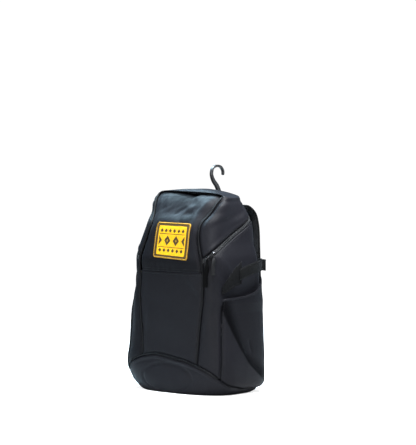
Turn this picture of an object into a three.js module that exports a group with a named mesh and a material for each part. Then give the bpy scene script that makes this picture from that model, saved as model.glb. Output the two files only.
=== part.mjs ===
// A tall sports backpack that stands on its base, in millimetres.
// +Z is up, the front faces -Y, and the origin is on the floor under the middle of the body.
import * as THREE from 'three';

// Driving sizes
const CLOTH = 2;
const BACK_PAD = 9;
const SEAM_GAP = 0.8;
const FACET_GAP = 0.8;
const PIPING = { radius: 1.7, sides: 6, frontPoints: 15, toePoints: 24, toeReach: 1.25 };
const HINGE_SEAM_Z = 285;
const LID_TOP_CENTRE = { y: 8, z: 477, fullness: 2.4 };
const RIDGE_ARCH = { middle: 9, backExtra: -2, power: 6 };
const LID_SLIT = { depth: 6, rows: 2 };
const PATCH = { width: 103, middle: 2.5, bottom: 313, top: 398, thickness: 1.6, corner: 4 };
const ZIP = { width: 14, coilHeight: 1.6, frontZ: 310.5, backZ: 418.5 };
const POCKET = { bulge: 13, footRise: 2, front: 1.24, back: 1.995 };
const SLEEVE_STRAP = { width: 27, thickness: 2.2 };
const SLIDER = { length: 11, width: 8, thickness: 4.5, corner: 2.5 };
const PULL = { thickness: 2.2, drop: 2 };
const HOOK = { thickness: 7, bevel: 1.2 };
const HOOK_PLATE = { width: 30, height: 36, thickness: 3, corner: 5, y: 81.3, z: 427 };
const SHOULDER_PAD = 13;
const WEBBING = { width: 25, thickness: 2 };
const ADJUSTER = { width: 36, thickness: 4, corner: 3, bar: 5, slot: 5, slotWidth: 27, slotCorner: 1.5 };

// Horizontal sections of the body from the floor up.
// half: half width; front, back: where the skin crosses X = 0; frontPower, backPower: how square the
// corners are; seam: X of the front seam; taper: how much wider the back is than the front.
const SECTIONS = [
  { z: 0, half: 136, front: -95, back: 75, frontPower: 2.6, backPower: 3.7, seam: 76, taper: 0 },
  { z: 9, half: 145, front: -102, back: 83, frontPower: 2.7, backPower: 4.7, seam: 80, taper: 0 },
  { z: 28, half: 154, front: -106, back: 87, frontPower: 3, backPower: 5.6, seam: 83, taper: 0 },
  { z: 70, half: 156, front: -103, back: 89, frontPower: 4.6, backPower: 6, seam: 84, taper: 0 },
  { z: 120, half: 150, front: -99, back: 89, frontPower: 4.6, backPower: 6, seam: 86, taper: 0 },
  { z: 180, half: 145, front: -99, back: 89, frontPower: 4.6, backPower: 6, seam: 92, taper: 0 },
  { z: 235, half: 137, front: -100, back: 88, frontPower: 4.8, backPower: 6, seam: 96, taper: 0 },
  { z: 285, half: 136, front: -101, back: 87, frontPower: 5, backPower: 6, seam: 97, taper: 0.01 },
  { z: 318, half: 133, front: -102, back: 85, frontPower: 5, backPower: 6, seam: 95, taper: 0.02 },
  { z: 352, half: 121, front: -97, back: 83, frontPower: 5.4, backPower: 6, seam: 84, taper: 0.05 },
  { z: 394, half: 111, front: -88, back: 80, frontPower: 6, backPower: 6, seam: 77, taper: 0.13 },
  { z: 420, half: 107, front: -67, back: 79, frontPower: 6, backPower: 5, seam: 81, taper: 0.055 },
  { z: 441, half: 104, front: -48, back: 78, frontPower: 6, backPower: 3.8, seam: 87, taper: -0.06 },
  { z: 459, half: 99, front: -23, back: 70, frontPower: 5.6, backPower: 3.2, seam: 95, taper: -0.12 },
];

// Height of the toe seam from the front centre (0) past the front seam (1) to the back seam (2).
const TOE_SEAM = [
  { around: 0, z: 82 },
  { around: 0.5, z: 80 },
  { around: 1, z: 69 },
  { around: 1.16, z: 48 },
  { around: 1.34, z: 25 },
  { around: 1.55, z: 13 },
  { around: 2, z: 9 },
];

// Pocket mouth from its front edge (0) to the back seam (1).
const POCKET_MOUTH = [
  { across: 0, z: 224 },
  { across: 0.4, z: 227 },
  { across: 0.65, z: 236 },
  { across: 0.85, z: 254 },
  { across: 1, z: 276 },
];

// Middle line of the right sleeve strap, from the wing to its free tail.
// lift: how far it stands off the side.
const STRAP_PATH = [
  { around: 1.415, z: 279, lift: 21.5 },
  { around: 1.466, z: 282.5, lift: 26 },
  { around: 1.56, z: 289, lift: 33 },
  { around: 1.69, z: 295.5, lift: 34 },
  { around: 1.82, z: 299, lift: 19 },
  { around: 1.9, z: 300, lift: 1.9 },
  { around: 1.95, z: 299, lift: 1.4 },
  { around: 1.99, z: 295, lift: 18 },
];

// Middle line and width of the right wing, from the side seam to the strap.
const WING_PATH = [
  { around: 1.235, z: 245, lift: 0.8, width: 16 },
  { around: 1.29, z: 259, lift: 8, width: 28 },
  { around: 1.37, z: 275, lift: 15, width: 40 },
  { around: 1.445, z: 284, lift: 21, width: 50 },
];

// Middle line of the hook in the plane X = 0, with its width there.
const HOOK_PATH = [
  { y: 86.8, z: 414, width: 6 },
  { y: 86.8, z: 444, width: 7 },
  { y: 84, z: 463, width: 12 },
  { y: 75, z: 482.5, width: 11 },
  { y: 62, z: 496.5, width: 9.5 },
  { y: 55.5, z: 511, width: 8 },
  { y: 59, z: 523.5, width: 7 },
  { y: 72, z: 529.5, width: 6.5 },
  { y: 89, z: 527.5, width: 6.5 },
  { y: 98, z: 518.5, width: 6 },
  { y: 98.5, z: 508.5, width: 5.5 },
];

// Sliders on the right zip, with the place and length of the pull tab that hangs from each.
// seat: height of its underside above the coil.
const SLIDERS = [
  { name: 'front', around: 1.075, seat: 0.5, pullAround: 1.03, pullWidth: 11, pullLength: 62 },
  { name: 'rear', around: 1.165, seat: -0.2, pullAround: 1.13, pullWidth: 9.5, pullLength: 44 },
];

// Fold across each pocket, from its top front corner to its lower back, in shares of the pocket.
const POCKET_FOLD = { fromAcross: 0.08, toAcross: 0.85, depth: 5, spread: 0.1 };

// Cells of each panel, shared by the panels that meet along a seam.
const CELLS = { front: 12, side: 10, halfBack: 5, sideRows: 10, lidRows: 8 };

// Middle line of the right shoulder strap, from its top seam down to the adjuster.
const SHOULDER_PATH = [
  { x: 46, y: 88, z: 436, width: 52 },
  { x: 51, y: 102, z: 431, width: 56 },
  { x: 57, y: 115, z: 414, width: 60 },
  { x: 61, y: 119, z: 386, width: 62 },
  { x: 65, y: 118, z: 330, width: 62 },
  { x: 71, y: 114.5, z: 260, width: 60 },
  { x: 82, y: 105, z: 196, width: 52 },
  { x: 92, y: 98, z: 152, width: 38 },
];

// Middle line of the right lower webbing, from the adjuster to the base seam.
const WEBBING_PATH = [
  { around: 2.36, z: 128, lift: 4.5 },
  { around: 2.31, z: 88, lift: 3.2 },
  { around: 2.24, z: 44, lift: 2.2 },
];

// Finishes
const FINISH = {
  shell: { color: 0x2b2c31, roughness: 0.5, metalness: 0 },
  pad: { color: 0x1d1e21, roughness: 0.85, metalness: 0 },
  trim: { color: 0x141416, roughness: 0.6, metalness: 0 },
  webbing: { color: 0x19191b, roughness: 0.8, metalness: 0 },
  plastic: { color: 0x121213, roughness: 0.4, metalness: 0 },
  metal: { color: 0x8f9092, roughness: 0.3, metalness: 1 },
  badge: { color: 0xc79a32, roughness: 0.6, metalness: 0 },
};

const backpack = new THREE.Group();
const lerp = THREE.MathUtils.lerp;
const clamp = THREE.MathUtils.clamp;
const smoothstep = THREE.MathUtils.smoothstep;

function addMesh(name, geometry, finish) {
  const mesh = new THREE.Mesh(geometry, new THREE.MeshStandardMaterial(FINISH[finish]));
  mesh.name = name;
  backpack.add(mesh);
  return mesh;
}

// Smooth curve through a column of equally spaced values.
function cubicAt(values, at) {
  const last = values.length - 1;
  const i = clamp(Math.floor(at), 0, last - 1);
  const t = at - i;
  const [p0, p1, p2, p3] = [i - 1, i, i + 1, i + 2].map((k) => values[clamp(k, 0, last)]);
  const slope1 = (p2 - p0) / 2;
  const slope2 = (p3 - p1) / 2;
  const rise = p2 - p1;
  return p1 + t * (slope1 + t * (3 * rise - 2 * slope1 - slope2 + t * (slope1 + slope2 - 2 * rise)));
}

// Height in a short table, by the place in its first column.
function heightAt(rows, key, at) {
  const upper = Math.max(rows.findIndex((row) => row[key] >= at), 1);
  const lower = rows[upper - 1];
  const share = (at - lower[key]) / (rows[upper][key] - lower[key]);
  return lerp(lower.z, rows[upper].z, clamp(share, 0, 1));
}

// The skin of the body

const RIDGE = SECTIONS.length - 1;

function sectionAt(station) {
  const section = {};
  for (const key of Object.keys(SECTIONS[0])) {
    section[key] = cubicAt(SECTIONS.map((row) => row[key]), clamp(station, 0, RIDGE));
  }
  return section;
}

// Station whose section lies at a given height.
function stationAt(z) {
  let low = 0;
  let high = RIDGE;
  for (let i = 0; i < 40; i += 1) {
    const middle = (low + high) / 2;
    if (sectionAt(middle).z < z) low = middle;
    else high = middle;
  }
  return (low + high) / 2;
}

// Way along the outline of a square, from the front middle (0) past the front corner (1)
// and the back corner (3) to the back middle (4).
function squarePoint(way) {
  if (way <= 1) return { p: way, q: -1 };
  if (way <= 3) return { p: 1, q: way - 2 };
  return { p: 4 - way, q: 1 };
}

// Way at which the front of a section reaches a given X.
function wayAtX(section, x) {
  const ratio = x / (section.half * (1 - section.taper));
  const p = ratio / (1 - ratio ** section.frontPower) ** (1 / section.frontPower);
  return p <= 1 ? p : 2 - 1 / p;
}

// Way for a place around the bag: 0 front centre, 1 front seam, 2 back seam, 3 back centre.
function wayAround(section, around) {
  const seam = wayAtX(section, section.seam);
  if (around <= 1) return around * seam;
  if (around <= 2) return lerp(seam, 3, around - 1);
  return around + 1;
}

// Point of the outer skin; places on the left are negative. Stations below 0 close the bottom,
// those above RIDGE close the top.
function skinPoint(around, station) {
  const section = sectionAt(station);
  const { p, q } = squarePoint(wayAround(section, Math.abs(around)));
  const power = lerp(section.frontPower, section.backPower, (q + 1) / 2);
  const reach = (p ** power + Math.abs(q) ** power) ** (1 / power);
  const depth = q / reach;
  const across = (p / reach) * section.half * (1 + section.taper * depth);
  const middle = (section.front + section.back) / 2;
  const point = new THREE.Vector3(Math.sign(around) * across, middle, section.z);
  point.y += (depth * (section.back - section.front)) / 2;
  const arch = RIDGE_ARCH.middle + RIDGE_ARCH.backExtra * depth;
  point.z += smoothstep(station, RIDGE - 2, RIDGE) * arch * (1 - (p / reach) ** RIDGE_ARCH.power);
  if (station > RIDGE) {
    const share = RIDGE + 1 - station;
    point.x *= share;
    point.y = lerp(LID_TOP_CENTRE.y, point.y, share);
    point.z = lerp(LID_TOP_CENTRE.z, point.z, share ** LID_TOP_CENTRE.fullness);
  }
  if (station < 0) point.multiply(new THREE.Vector3(station + 1, station + 1, 1));
  return point;
}

// Outward direction of the skin, from two short steps along it.
function skinNormal(around, station) {
  const step = 0.02;
  if (station <= -0.5) return new THREE.Vector3(0, 0, -1);
  if (station >= RIDGE + 0.9) return new THREE.Vector3(0, 0, 1);
  const side = Math.sign(around) || 1;
  const place = Math.abs(around);
  const before = skinPoint(side * Math.max(place - step, 1e-4), station);
  const after = skinPoint(side * Math.min(place + step, 3 - 1e-4), station);
  const up = skinPoint(around, station + step).sub(skinPoint(around, station - step));
  const normal = after.sub(before).multiplyScalar(side).cross(up).normalize();
  if (place < step || place > 3 - step) normal.setX(0).normalize();
  return normal;
}

function skin(around, station, lift) {
  return skinPoint(around, station).addScaledVector(skinNormal(around, station), lift);
}

// Solids

function closedGeometry(positions, triangles) {
  const geometry = new THREE.BufferGeometry();
  geometry.setAttribute('position', new THREE.Float32BufferAttribute(positions, 3));
  geometry.setIndex(triangles);
  geometry.computeVertexNormals();
  return geometry;
}

// A cloth wall: a net of cells on the skin, doubled to an outer and an inner face, with a closed rim.
class ClothWall {
  constructor() {
    this.corners = [];
    this.index = new Map();
    this.faces = [];
  }

  corner({ around, station, outer, inner }) {
    const outside = skin(around, station, outer);
    const key = outside.toArray().map((value) => Math.round(value * 100)).join();
    if (!this.index.has(key)) {
      this.index.set(key, this.corners.length);
      const normal = skinNormal(around, station);
      this.corners.push({ outside, inside: skin(around, station, inner), normal });
    }
    return this.index.get(key);
  }

  // place(s, t) gives the skin's place and the two lifts for s and t from 0 to 1.
  grid(columns, rows, place) {
    const ids = [];
    for (let j = 0; j <= rows; j += 1) {
      for (let i = 0; i <= columns; i += 1) ids.push(this.corner(place(i / columns, j / rows)));
    }
    for (let j = 0; j < rows; j += 1) {
      for (let i = 0; i < columns; i += 1) {
        const a = j * (columns + 1) + i;
        const [low, right, far, high] = [ids[a], ids[a + 1], ids[a + columns + 2], ids[a + columns + 1]];
        for (const face of [[low, right, far], [low, far, high]]) {
          if (new Set(face).size === 3) this.faces.push(face);
        }
      }
    }
    return this;
  }

  rim() {
    const edges = new Map();
    for (const face of this.faces) {
      face.forEach((a, k) => edges.set(`${a},${face[(k + 1) % 3]}`, [a, face[(k + 1) % 3]]));
    }
    return [...edges.values()].filter(([a, b]) => !edges.has(`${b},${a}`));
  }

  // Draws the rim in along the skin, so that neighbours keep a gap.
  drawIn(gap, rim) {
    const pulls = new Map();
    for (const [a, b] of rim) {
      const edge = this.corners[b].outside.clone().sub(this.corners[a].outside);
      const inward = this.corners[a].normal.clone().cross(edge).normalize();
      for (const corner of [a, b]) pulls.set(corner, [...(pulls.get(corner) ?? []), inward]);
    }
    for (const [corner, [one, two]] of pulls) {
      const pull = one.clone().add(two).multiplyScalar(gap / Math.max(1 + one.dot(two), 0.6));
      this.corners[corner].outside.add(pull);
      this.corners[corner].inside.add(pull);
    }
  }

  solid(gap) {
    const rim = this.rim();
    this.drawIn(gap, rim);
    const count = this.corners.length;
    const points = [...this.corners.map((c) => c.outside), ...this.corners.map((c) => c.inside)];
    const triangles = [];
    for (const [a, b, c] of this.faces) triangles.push(a, b, c, a + count, c + count, b + count);
    for (const [a, b] of rim) triangles.push(b, a, a + count, b, a + count, b + count);
    return closedGeometry(points.flatMap((point) => point.toArray()), triangles);
  }
}

// A band swept along a curve, with its width kept in one direction. profile: corners of its section;
// upright: whether its ends are cut along the width's direction rather than square to the curve.
function sweptBand(points, { widthAxis, widthAt, thickness, steps, profile, upright = false }) {
  const curve = new THREE.CatmullRomCurve3(points);
  const positions = [];
  const triangles = [];
  const count = profile.length;
  for (let i = 0; i <= steps; i += 1) {
    const tangent = curve.getTangent(i / steps);
    const slant = upright ? 0 : -widthAxis.dot(tangent);
    const wide = widthAxis.clone().addScaledVector(tangent, slant).normalize();
    const thick = tangent.clone().cross(wide).normalize();
    for (const [u, v] of profile) {
      const point = curve.getPoint(i / steps);
      point.addScaledVector(wide, (u * widthAt(i / steps)) / 2);
      point.addScaledVector(thick, (v * thickness) / 2);
      positions.push(...point.toArray());
    }
  }
  for (let i = 0; i < steps * count; i += 1) {
    const next = i % count === count - 1 ? i + 1 - count : i + 1;
    triangles.push(i, next, next + count, i, next + count, i + count);
  }
  const end = steps * count;
  for (let k = 1; k < count - 1; k += 1) triangles.push(0, k + 1, k, end, end + k, end + k + 1);
  return closedGeometry(positions, triangles);
}

const FLAT = [[-1, -1], [1, -1], [1, 1], [-1, 1]];
const PADDED = [[-1, -0.4], [-0.82, -1], [0.82, -1], [1, -0.4], [1, 0.4], [0.82, 1], [-0.82, 1], [-1, 0.4]];
const UP = new THREE.Vector3(0, 0, 1);
const ACROSS = new THREE.Vector3(1, 0, 0);
const widthColumn = (rows) => (t) => cubicAt(rows.map((row) => row.width), t * (rows.length - 1));
const routeOf = (rows, side) => rows.map((row) => new THREE.Vector3(row.x * side, row.y, row.z));
const skinRoute = (rows, side) => rows.map((row) => skin(row.around * side, stationAt(row.z), row.lift));

function pipingAlong(points, steps) {
  const round = new THREE.Shape().absarc(0, 0, PIPING.radius, 0, Math.PI * 2);
  const extrudePath = new THREE.CatmullRomCurve3(points);
  const curveSegments = PIPING.sides / 2;
  return new THREE.ExtrudeGeometry(round, { extrudePath, steps, curveSegments, bevelEnabled: false });
}

// Cloth body

const cloth = { outer: 0, inner: -CLOTH };
const zipHalf = ZIP.width / 2;
const hingeStation = stationAt(HINGE_SEAM_Z);
const toeHeight = (around) => heightAt(TOE_SEAM, 'around', Math.min(Math.abs(around), 2));
const toeStation = (around) => stationAt(toeHeight(around));
const sidePlace = (side, s) => (side > 0 ? lerp(1, 2, s) : lerp(-2, -1, s));

function zipStation(around, offset) {
  return stationAt(lerp(ZIP.frontZ, ZIP.backZ, Math.abs(around) - 1) + offset);
}

// Stretches once round the bag, with the cells of the panels there.
const ROUND = [
  { from: -1, to: 1, columns: CELLS.front },
  { from: 1, to: 2, columns: CELLS.side },
  { from: 2, to: 3, columns: CELLS.halfBack },
  { from: -3, to: -2, columns: CELLS.halfBack },
  { from: -2, to: -1, columns: CELLS.side },
];

function frontPanel() {
  const wall = new ClothWall().grid(CELLS.front, 10, (s, t) => {
    const around = lerp(-1, 1, s);
    return { around, station: lerp(toeStation(around), hingeStation, t), ...cloth };
  });
  addMesh('front_panel', wall.solid(SEAM_GAP / 2), 'shell');
}

// The lid sinks under the top strip, which leaves a slit there.
function lidPanel() {
  const rows = 14;
  const wall = new ClothWall().grid(CELLS.front, rows, (s, t) => {
    const around = lerp(-1, 1, s);
    const sink = LID_SLIT.depth * (1 - around ** 4) * smoothstep(t * rows, rows - LID_SLIT.rows, rows);
    return { around, station: lerp(hingeStation, RIDGE, t), outer: -sink, inner: -sink - CLOTH };
  });
  addMesh('lid_panel', wall.solid(SEAM_GAP / 2), 'shell');
}

function topBand() {
  const wall = new ClothWall();
  for (const side of [-1, 1]) {
    wall.grid(CELLS.side, CELLS.lidRows, (s, t) => {
      const around = sidePlace(side, s);
      return { around, station: lerp(zipStation(around, zipHalf), RIDGE, t), ...cloth };
    });
  }
  for (const { from, to, columns } of ROUND) {
    wall.grid(columns, 4, (s, t) => ({ around: lerp(from, to, s), station: RIDGE + t, ...cloth }));
  }
  addMesh('top_band', wall.solid(SEAM_GAP / 2), 'shell');
}

function sidePanel(side, name) {
  const wall = new ClothWall().grid(CELLS.side, CELLS.sideRows, (s, t) => {
    const around = sidePlace(side, s);
    return { around, station: lerp(toeStation(around), zipStation(around, -zipHalf), t), ...cloth };
  });
  addMesh(`side_panel_${name}`, wall.solid(SEAM_GAP / 2), 'shell');
}

// The rows of the back meet those of the side panel, the zip and the top band.
function backPanel() {
  const stages = [
    { from: toeStation(2), to: zipStation(2, -zipHalf), rows: CELLS.sideRows },
    { from: zipStation(2, -zipHalf), to: zipStation(2, zipHalf), rows: 1 },
    { from: zipStation(2, zipHalf), to: RIDGE, rows: CELLS.lidRows },
  ];
  const wall = new ClothWall();
  for (const { from, to, rows } of stages) {
    wall.grid(2 * CELLS.halfBack, rows, (s, t) => {
      const around = s <= 0.5 ? lerp(2, 3, s * 2) : lerp(-3, -2, s * 2 - 1);
      return { around, station: lerp(from, to, t), outer: 0, inner: -BACK_PAD };
    });
  }
  addMesh('back_panel', wall.solid(SEAM_GAP / 2), 'pad');
}

function toeCap() {
  const wall = new ClothWall();
  for (const { from, to, columns } of ROUND) {
    wall.grid(columns, 2, (s, t) => ({ around: lerp(from, to, s), station: t - 1, ...cloth }));
    wall.grid(columns, 5, (s, t) => {
      const around = lerp(from, to, s);
      return { around, station: lerp(0, toeStation(around), t), ...cloth };
    });
  }
  addMesh('toe_cap', wall.solid(SEAM_GAP / 2), 'shell');
}

// The pocket stands off the side, with a fold that runs down from its top front corner.
function sidePocket(side, name) {
  const wall = new ClothWall().grid(10, 9, (s, t) => {
    const across = side > 0 ? s : 1 - s;
    const around = side * lerp(POCKET.front, POCKET.back, across);
    const foot = stationAt(toeHeight(around) + POCKET.footRise);
    const mouth = stationAt(heightAt(POCKET_MOUTH, 'across', across));
    const body = Math.sin(Math.PI * across) ** 0.8 * Math.sin((Math.PI / 2) * Math.min(1, t * 1.6));
    const foldAcross = lerp(POCKET_FOLD.toAcross, POCKET_FOLD.fromAcross, t);
    const dent = POCKET_FOLD.depth * Math.exp(-(((across - foldAcross) / POCKET_FOLD.spread) ** 2));
    const inner = FACET_GAP + body * (POCKET.bulge - dent);
    return { around, station: lerp(foot, mouth, t), outer: inner + CLOTH, inner };
  });
  addMesh(`side_pocket_${name}`, wall.solid(0), 'shell');
}

// Trim

function zipTape(side, name) {
  const wall = new ClothWall().grid(CELLS.side, 6, (s, t) => {
    const around = sidePlace(side, s);
    const onCoil = t === 0.5 && s > 0 && s < 1;
    const station = zipStation(around, lerp(-zipHalf, zipHalf, t));
    return { around, station, outer: onCoil ? ZIP.coilHeight : 0, inner: -CLOTH };
  });
  addMesh(`zip_${name}`, wall.solid(SEAM_GAP / 2), 'trim');
}

function frontPiping(side, name) {
  const lift = PIPING.radius + FACET_GAP;
  const [low, high] = [toeStation(1) + 0.12, RIDGE - 0.1];
  const points = [];
  for (let i = 0; i <= PIPING.frontPoints; i += 1) {
    points.push(skin(side, lerp(low, high, i / PIPING.frontPoints), lift));
  }
  addMesh(`front_piping_${name}`, pipingAlong(points, 2 * PIPING.frontPoints), 'trim');
}

function toePiping() {
  const points = [];
  for (let i = 0; i <= PIPING.toePoints; i += 1) {
    const around = lerp(-PIPING.toeReach, PIPING.toeReach, i / PIPING.toePoints);
    points.push(skin(around, toeStation(around), PIPING.radius + FACET_GAP));
  }
  addMesh('toe_piping', pipingAlong(points, 2 * PIPING.toePoints), 'trim');
}

function patch() {
  const wall = new ClothWall().grid(8, 6, (s, t) => {
    const z = lerp(PATCH.bottom, PATCH.top, t);
    const half = PATCH.width / 2 - (t === 0 || t === 1 ? PATCH.corner : 0);
    const section = sectionAt(stationAt(z));
    const x = PATCH.middle + lerp(-half, half, s);
    const around = (Math.sign(x) * wayAtX(section, Math.abs(x))) / wayAtX(section, section.seam);
    return { around, station: stationAt(z), outer: FACET_GAP + PATCH.thickness, inner: FACET_GAP };
  });
  addMesh('patch', wall.solid(0), 'badge');
}

function roundedBox(width, height, radius) {
  const shape = new THREE.Shape();
  const [x, y] = [width / 2 - radius, height / 2 - radius];
  const centres = [[x, y], [-x, y], [-x, -y], [x, -y]];
  centres.forEach(([cx, cy], turn) => {
    shape.absarc(cx, cy, radius, (turn * Math.PI) / 2, ((turn + 1) * Math.PI) / 2);
  });
  return shape;
}

function plate(shape, thickness) {
  const square = { depth: thickness, bevelEnabled: false, curveSegments: 4 };
  return new THREE.ExtrudeGeometry(shape, square).translate(0, 0, -thickness / 2);
}

// A slider sits on the coil, and its pull tab hangs down the side below it.
function slider({ name, around, seat, pullAround, pullWidth, pullLength }) {
  const station = zipStation(around, 0);
  const normal = skinNormal(around, station);
  const ahead = skinPoint(around + 0.05, zipStation(around + 0.05, 0)).sub(skinPoint(around, station));
  const along = ahead.addScaledVector(normal, -ahead.dot(normal)).normalize();
  const frame = new THREE.Matrix4().makeBasis(along, normal.clone().cross(along), normal);
  const outline = roundedBox(SLIDER.length, SLIDER.width, SLIDER.corner);
  const body = addMesh(`slider_${name}`, plate(outline, SLIDER.thickness), 'metal');
  body.quaternion.setFromRotationMatrix(frame);
  body.position.copy(skin(around, station, ZIP.coilHeight + seat + SLIDER.thickness / 2));
  const top = skinPoint(around, station).z - SLIDER.width / 2 - PULL.drop;
  const lift = ZIP.coilHeight + FACET_GAP + PULL.thickness;
  const points = [0, 1, 2, 3].map((i) => {
    const place = lerp(around, pullAround, Math.min(1, i / 2));
    return skin(place, stationAt(top - (pullLength * i) / 3), lift);
  });
  const { thickness } = PULL;
  const shape = { widthAxis: along, widthAt: () => pullWidth, thickness, steps: 6, profile: FLAT };
  addMesh(`pull_${name}`, sweptBand(points, shape), 'trim');
}

// Straps

function sleeveLoop(side, name) {
  const cut = { widthAxis: UP, profile: FLAT, upright: true };
  const wingShape = { ...cut, widthAt: widthColumn(WING_PATH), thickness: CLOTH, steps: 8 };
  addMesh(`wing_${name}`, sweptBand(skinRoute(WING_PATH, side), wingShape), 'shell');
  const { width, thickness } = SLEEVE_STRAP;
  const strapShape = { ...cut, widthAt: () => width, thickness, steps: 20 };
  addMesh(`sleeve_strap_${name}`, sweptBand(skinRoute(STRAP_PATH, side), strapShape), 'webbing');
}

function shoulderStrap(side, name) {
  const cut = { widthAxis: ACROSS, upright: true };
  const widthAt = widthColumn(SHOULDER_PATH);
  const padShape = { ...cut, widthAt, thickness: SHOULDER_PAD, steps: 20, profile: PADDED };
  addMesh(`shoulder_strap_${name}`, sweptBand(routeOf(SHOULDER_PATH, side), padShape), 'pad');
  const { width, thickness } = WEBBING;
  const webShape = { ...cut, widthAt: () => width, thickness, steps: 6, profile: FLAT };
  addMesh(`webbing_${name}`, sweptBand(skinRoute(WEBBING_PATH, side), webShape), 'webbing');
}

// A ladder buckle between the padded strap and its webbing.
function adjuster(side, name) {
  const from = routeOf(SHOULDER_PATH, side).at(-1);
  const to = skinRoute(WEBBING_PATH, side)[0];
  const up = from.clone().sub(to).setX(0);
  const shape = roundedBox(ADJUSTER.width, up.length() - 2 * FACET_GAP, ADJUSTER.corner);
  up.normalize();
  for (const offset of [-ADJUSTER.bar, ADJUSTER.bar]) {
    const slot = roundedBox(ADJUSTER.slotWidth, ADJUSTER.slot, ADJUSTER.slotCorner);
    const corners = slot.getPoints(3).map((point) => point.add(new THREE.Vector2(0, offset)));
    shape.holes.push(new THREE.Path(corners));
  }
  const buckle = addMesh(`adjuster_${name}`, plate(shape, ADJUSTER.thickness), 'plastic');
  const frame = new THREE.Matrix4().makeBasis(ACROSS, up, ACROSS.clone().cross(up));
  buckle.quaternion.setFromRotationMatrix(frame);
  buckle.position.copy(from).lerp(to, 0.5);
}

// The hook is cut from a plate in the plane X = 0 and is held by a plain plate on the back.
function fenceHook() {
  const curve = new THREE.CatmullRomCurve3(HOOK_PATH.map((row) => new THREE.Vector3(row.y, row.z, 0)));
  const widthAt = widthColumn(HOOK_PATH);
  const edges = { left: [], right: [] };
  const steps = 28;
  for (let i = 0; i <= steps; i += 1) {
    const point = curve.getPoint(i / steps);
    const tangent = curve.getTangent(i / steps);
    const offset = new THREE.Vector2(-tangent.y, tangent.x).multiplyScalar(widthAt(i / steps) / 2);
    edges.left.push(new THREE.Vector2(point.x, point.y).add(offset));
    edges.right.unshift(new THREE.Vector2(point.x, point.y).sub(offset));
  }
  const outline = new THREE.Shape([...edges.right, ...edges.left]);
  const { bevel } = HOOK;
  const edge = { bevelSize: bevel, bevelThickness: bevel, bevelOffset: -bevel, bevelSegments: 1 };
  const depth = HOOK.thickness - 2 * bevel;
  const geometry = new THREE.ExtrudeGeometry(outline, { depth, ...edge }).translate(0, 0, -depth / 2);
  const upright = new THREE.Matrix4().makeBasis(new THREE.Vector3(0, 1, 0), UP, ACROSS);
  addMesh('fence_hook', geometry, 'plastic').quaternion.setFromRotationMatrix(upright);

  const plateOutline = roundedBox(HOOK_PLATE.width, HOOK_PLATE.height, HOOK_PLATE.corner);
  const base = addMesh('hook_base', plate(plateOutline, HOOK_PLATE.thickness), 'plastic');
  base.rotation.x = Math.PI / 2;
  base.position.set(0, HOOK_PLATE.y, HOOK_PLATE.z);
}

frontPanel();
lidPanel();
topBand();
backPanel();
toeCap();
toePiping();
patch();
for (const [side, name] of [[-1, 'left'], [1, 'right']]) {
  sidePanel(side, name);
  sidePocket(side, name);
  zipTape(side, name);
  frontPiping(side, name);
  sleeveLoop(side, name);
  shoulderStrap(side, name);
  adjuster(side, name);
}
SLIDERS.forEach(slider);
fenceHook();

export default backpack;
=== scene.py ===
"""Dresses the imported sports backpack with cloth, padding, zips, straps, a badge and a hook.

The tables hold millimetres, and lengths become metres where a mesh is made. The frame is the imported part's:
+Z is up, the front faces -Y, and the origin is on the floor under the middle of the body.
"""
from __future__ import annotations

import functools
import logging
import math
from dataclasses import dataclass, field, fields
from enum import Enum
from typing import Callable, Sequence

import bmesh
import bpy
import numpy as np
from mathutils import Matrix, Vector


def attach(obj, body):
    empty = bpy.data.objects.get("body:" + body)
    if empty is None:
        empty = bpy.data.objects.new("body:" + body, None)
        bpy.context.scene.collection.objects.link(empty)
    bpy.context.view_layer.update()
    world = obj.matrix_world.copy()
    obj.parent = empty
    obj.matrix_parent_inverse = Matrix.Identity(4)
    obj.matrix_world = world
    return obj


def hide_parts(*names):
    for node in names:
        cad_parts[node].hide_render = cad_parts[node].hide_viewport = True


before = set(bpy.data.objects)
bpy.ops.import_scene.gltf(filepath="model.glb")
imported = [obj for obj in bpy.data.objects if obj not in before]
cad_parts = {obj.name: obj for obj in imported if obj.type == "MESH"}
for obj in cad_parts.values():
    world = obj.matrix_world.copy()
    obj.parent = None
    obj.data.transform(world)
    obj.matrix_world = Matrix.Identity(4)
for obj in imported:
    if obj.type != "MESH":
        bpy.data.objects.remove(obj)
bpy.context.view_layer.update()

log = logging.getLogger("backpack")
Array = np.ndarray
Number = np.ndarray | float
Pair = tuple[float, float]
Triple = tuple[float, float, float]
Rows = tuple[tuple[float, ...], ...]
Fold = tuple[float, Pair, Pair, float]
Line = tuple[Array, Array]
Node = bpy.types.Node
Socket = bpy.types.NodeSocket
Tree = bpy.types.NodeTree
Object = bpy.types.Object
MM = 0.001
ACROSS = np.array([1.0, 0.0, 0.0])
INWARD = np.array([0.0, 1.0, 0.0])
UP = np.array([0.0, 0.0, 1.0])


class Side(Enum):
    """A side of the bag, with its sign along X."""

    LEFT = -1
    RIGHT = 1

    @property
    def word(self) -> str:
        """Name of the side as it ends a node's name."""
        return self.name.lower()

    @property
    def near(self) -> str:
        """Edge of this side's nets that lies at the front."""
        return "left" if self is Side.RIGHT else "right"

    def span(self, front: float, back: float) -> Pair:
        """First and last place around the body of a net on this side."""
        return (front, back) if self is Side.RIGHT else (-back, -front)


class Slot(Enum):
    """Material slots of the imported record."""

    SHELL = "shell"
    PAD = "pad"
    TRIM = "trim"
    WEBBING = "webbing"
    PLASTIC = "plastic"
    METAL = "metal"
    BADGE = "badge"


# Small curves

def smoothstep(x: Number, low: float, high: float) -> Array:
    """Eased rise from 0 at low to 1 at high."""
    t = np.clip((np.asarray(x, float) - low) / (high - low), 0, 1)
    return t * t * (3 - 2 * t)


def hill(x: Array, centre: Number, spread: float) -> Array:
    """Rounded hill of height 1."""
    return np.exp(-(((x - centre) / spread) ** 2))


def lerp(a: Number, b: Number, t: Number) -> Number:
    """Straight mix of two values."""
    return a + (b - a) * t


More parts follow.
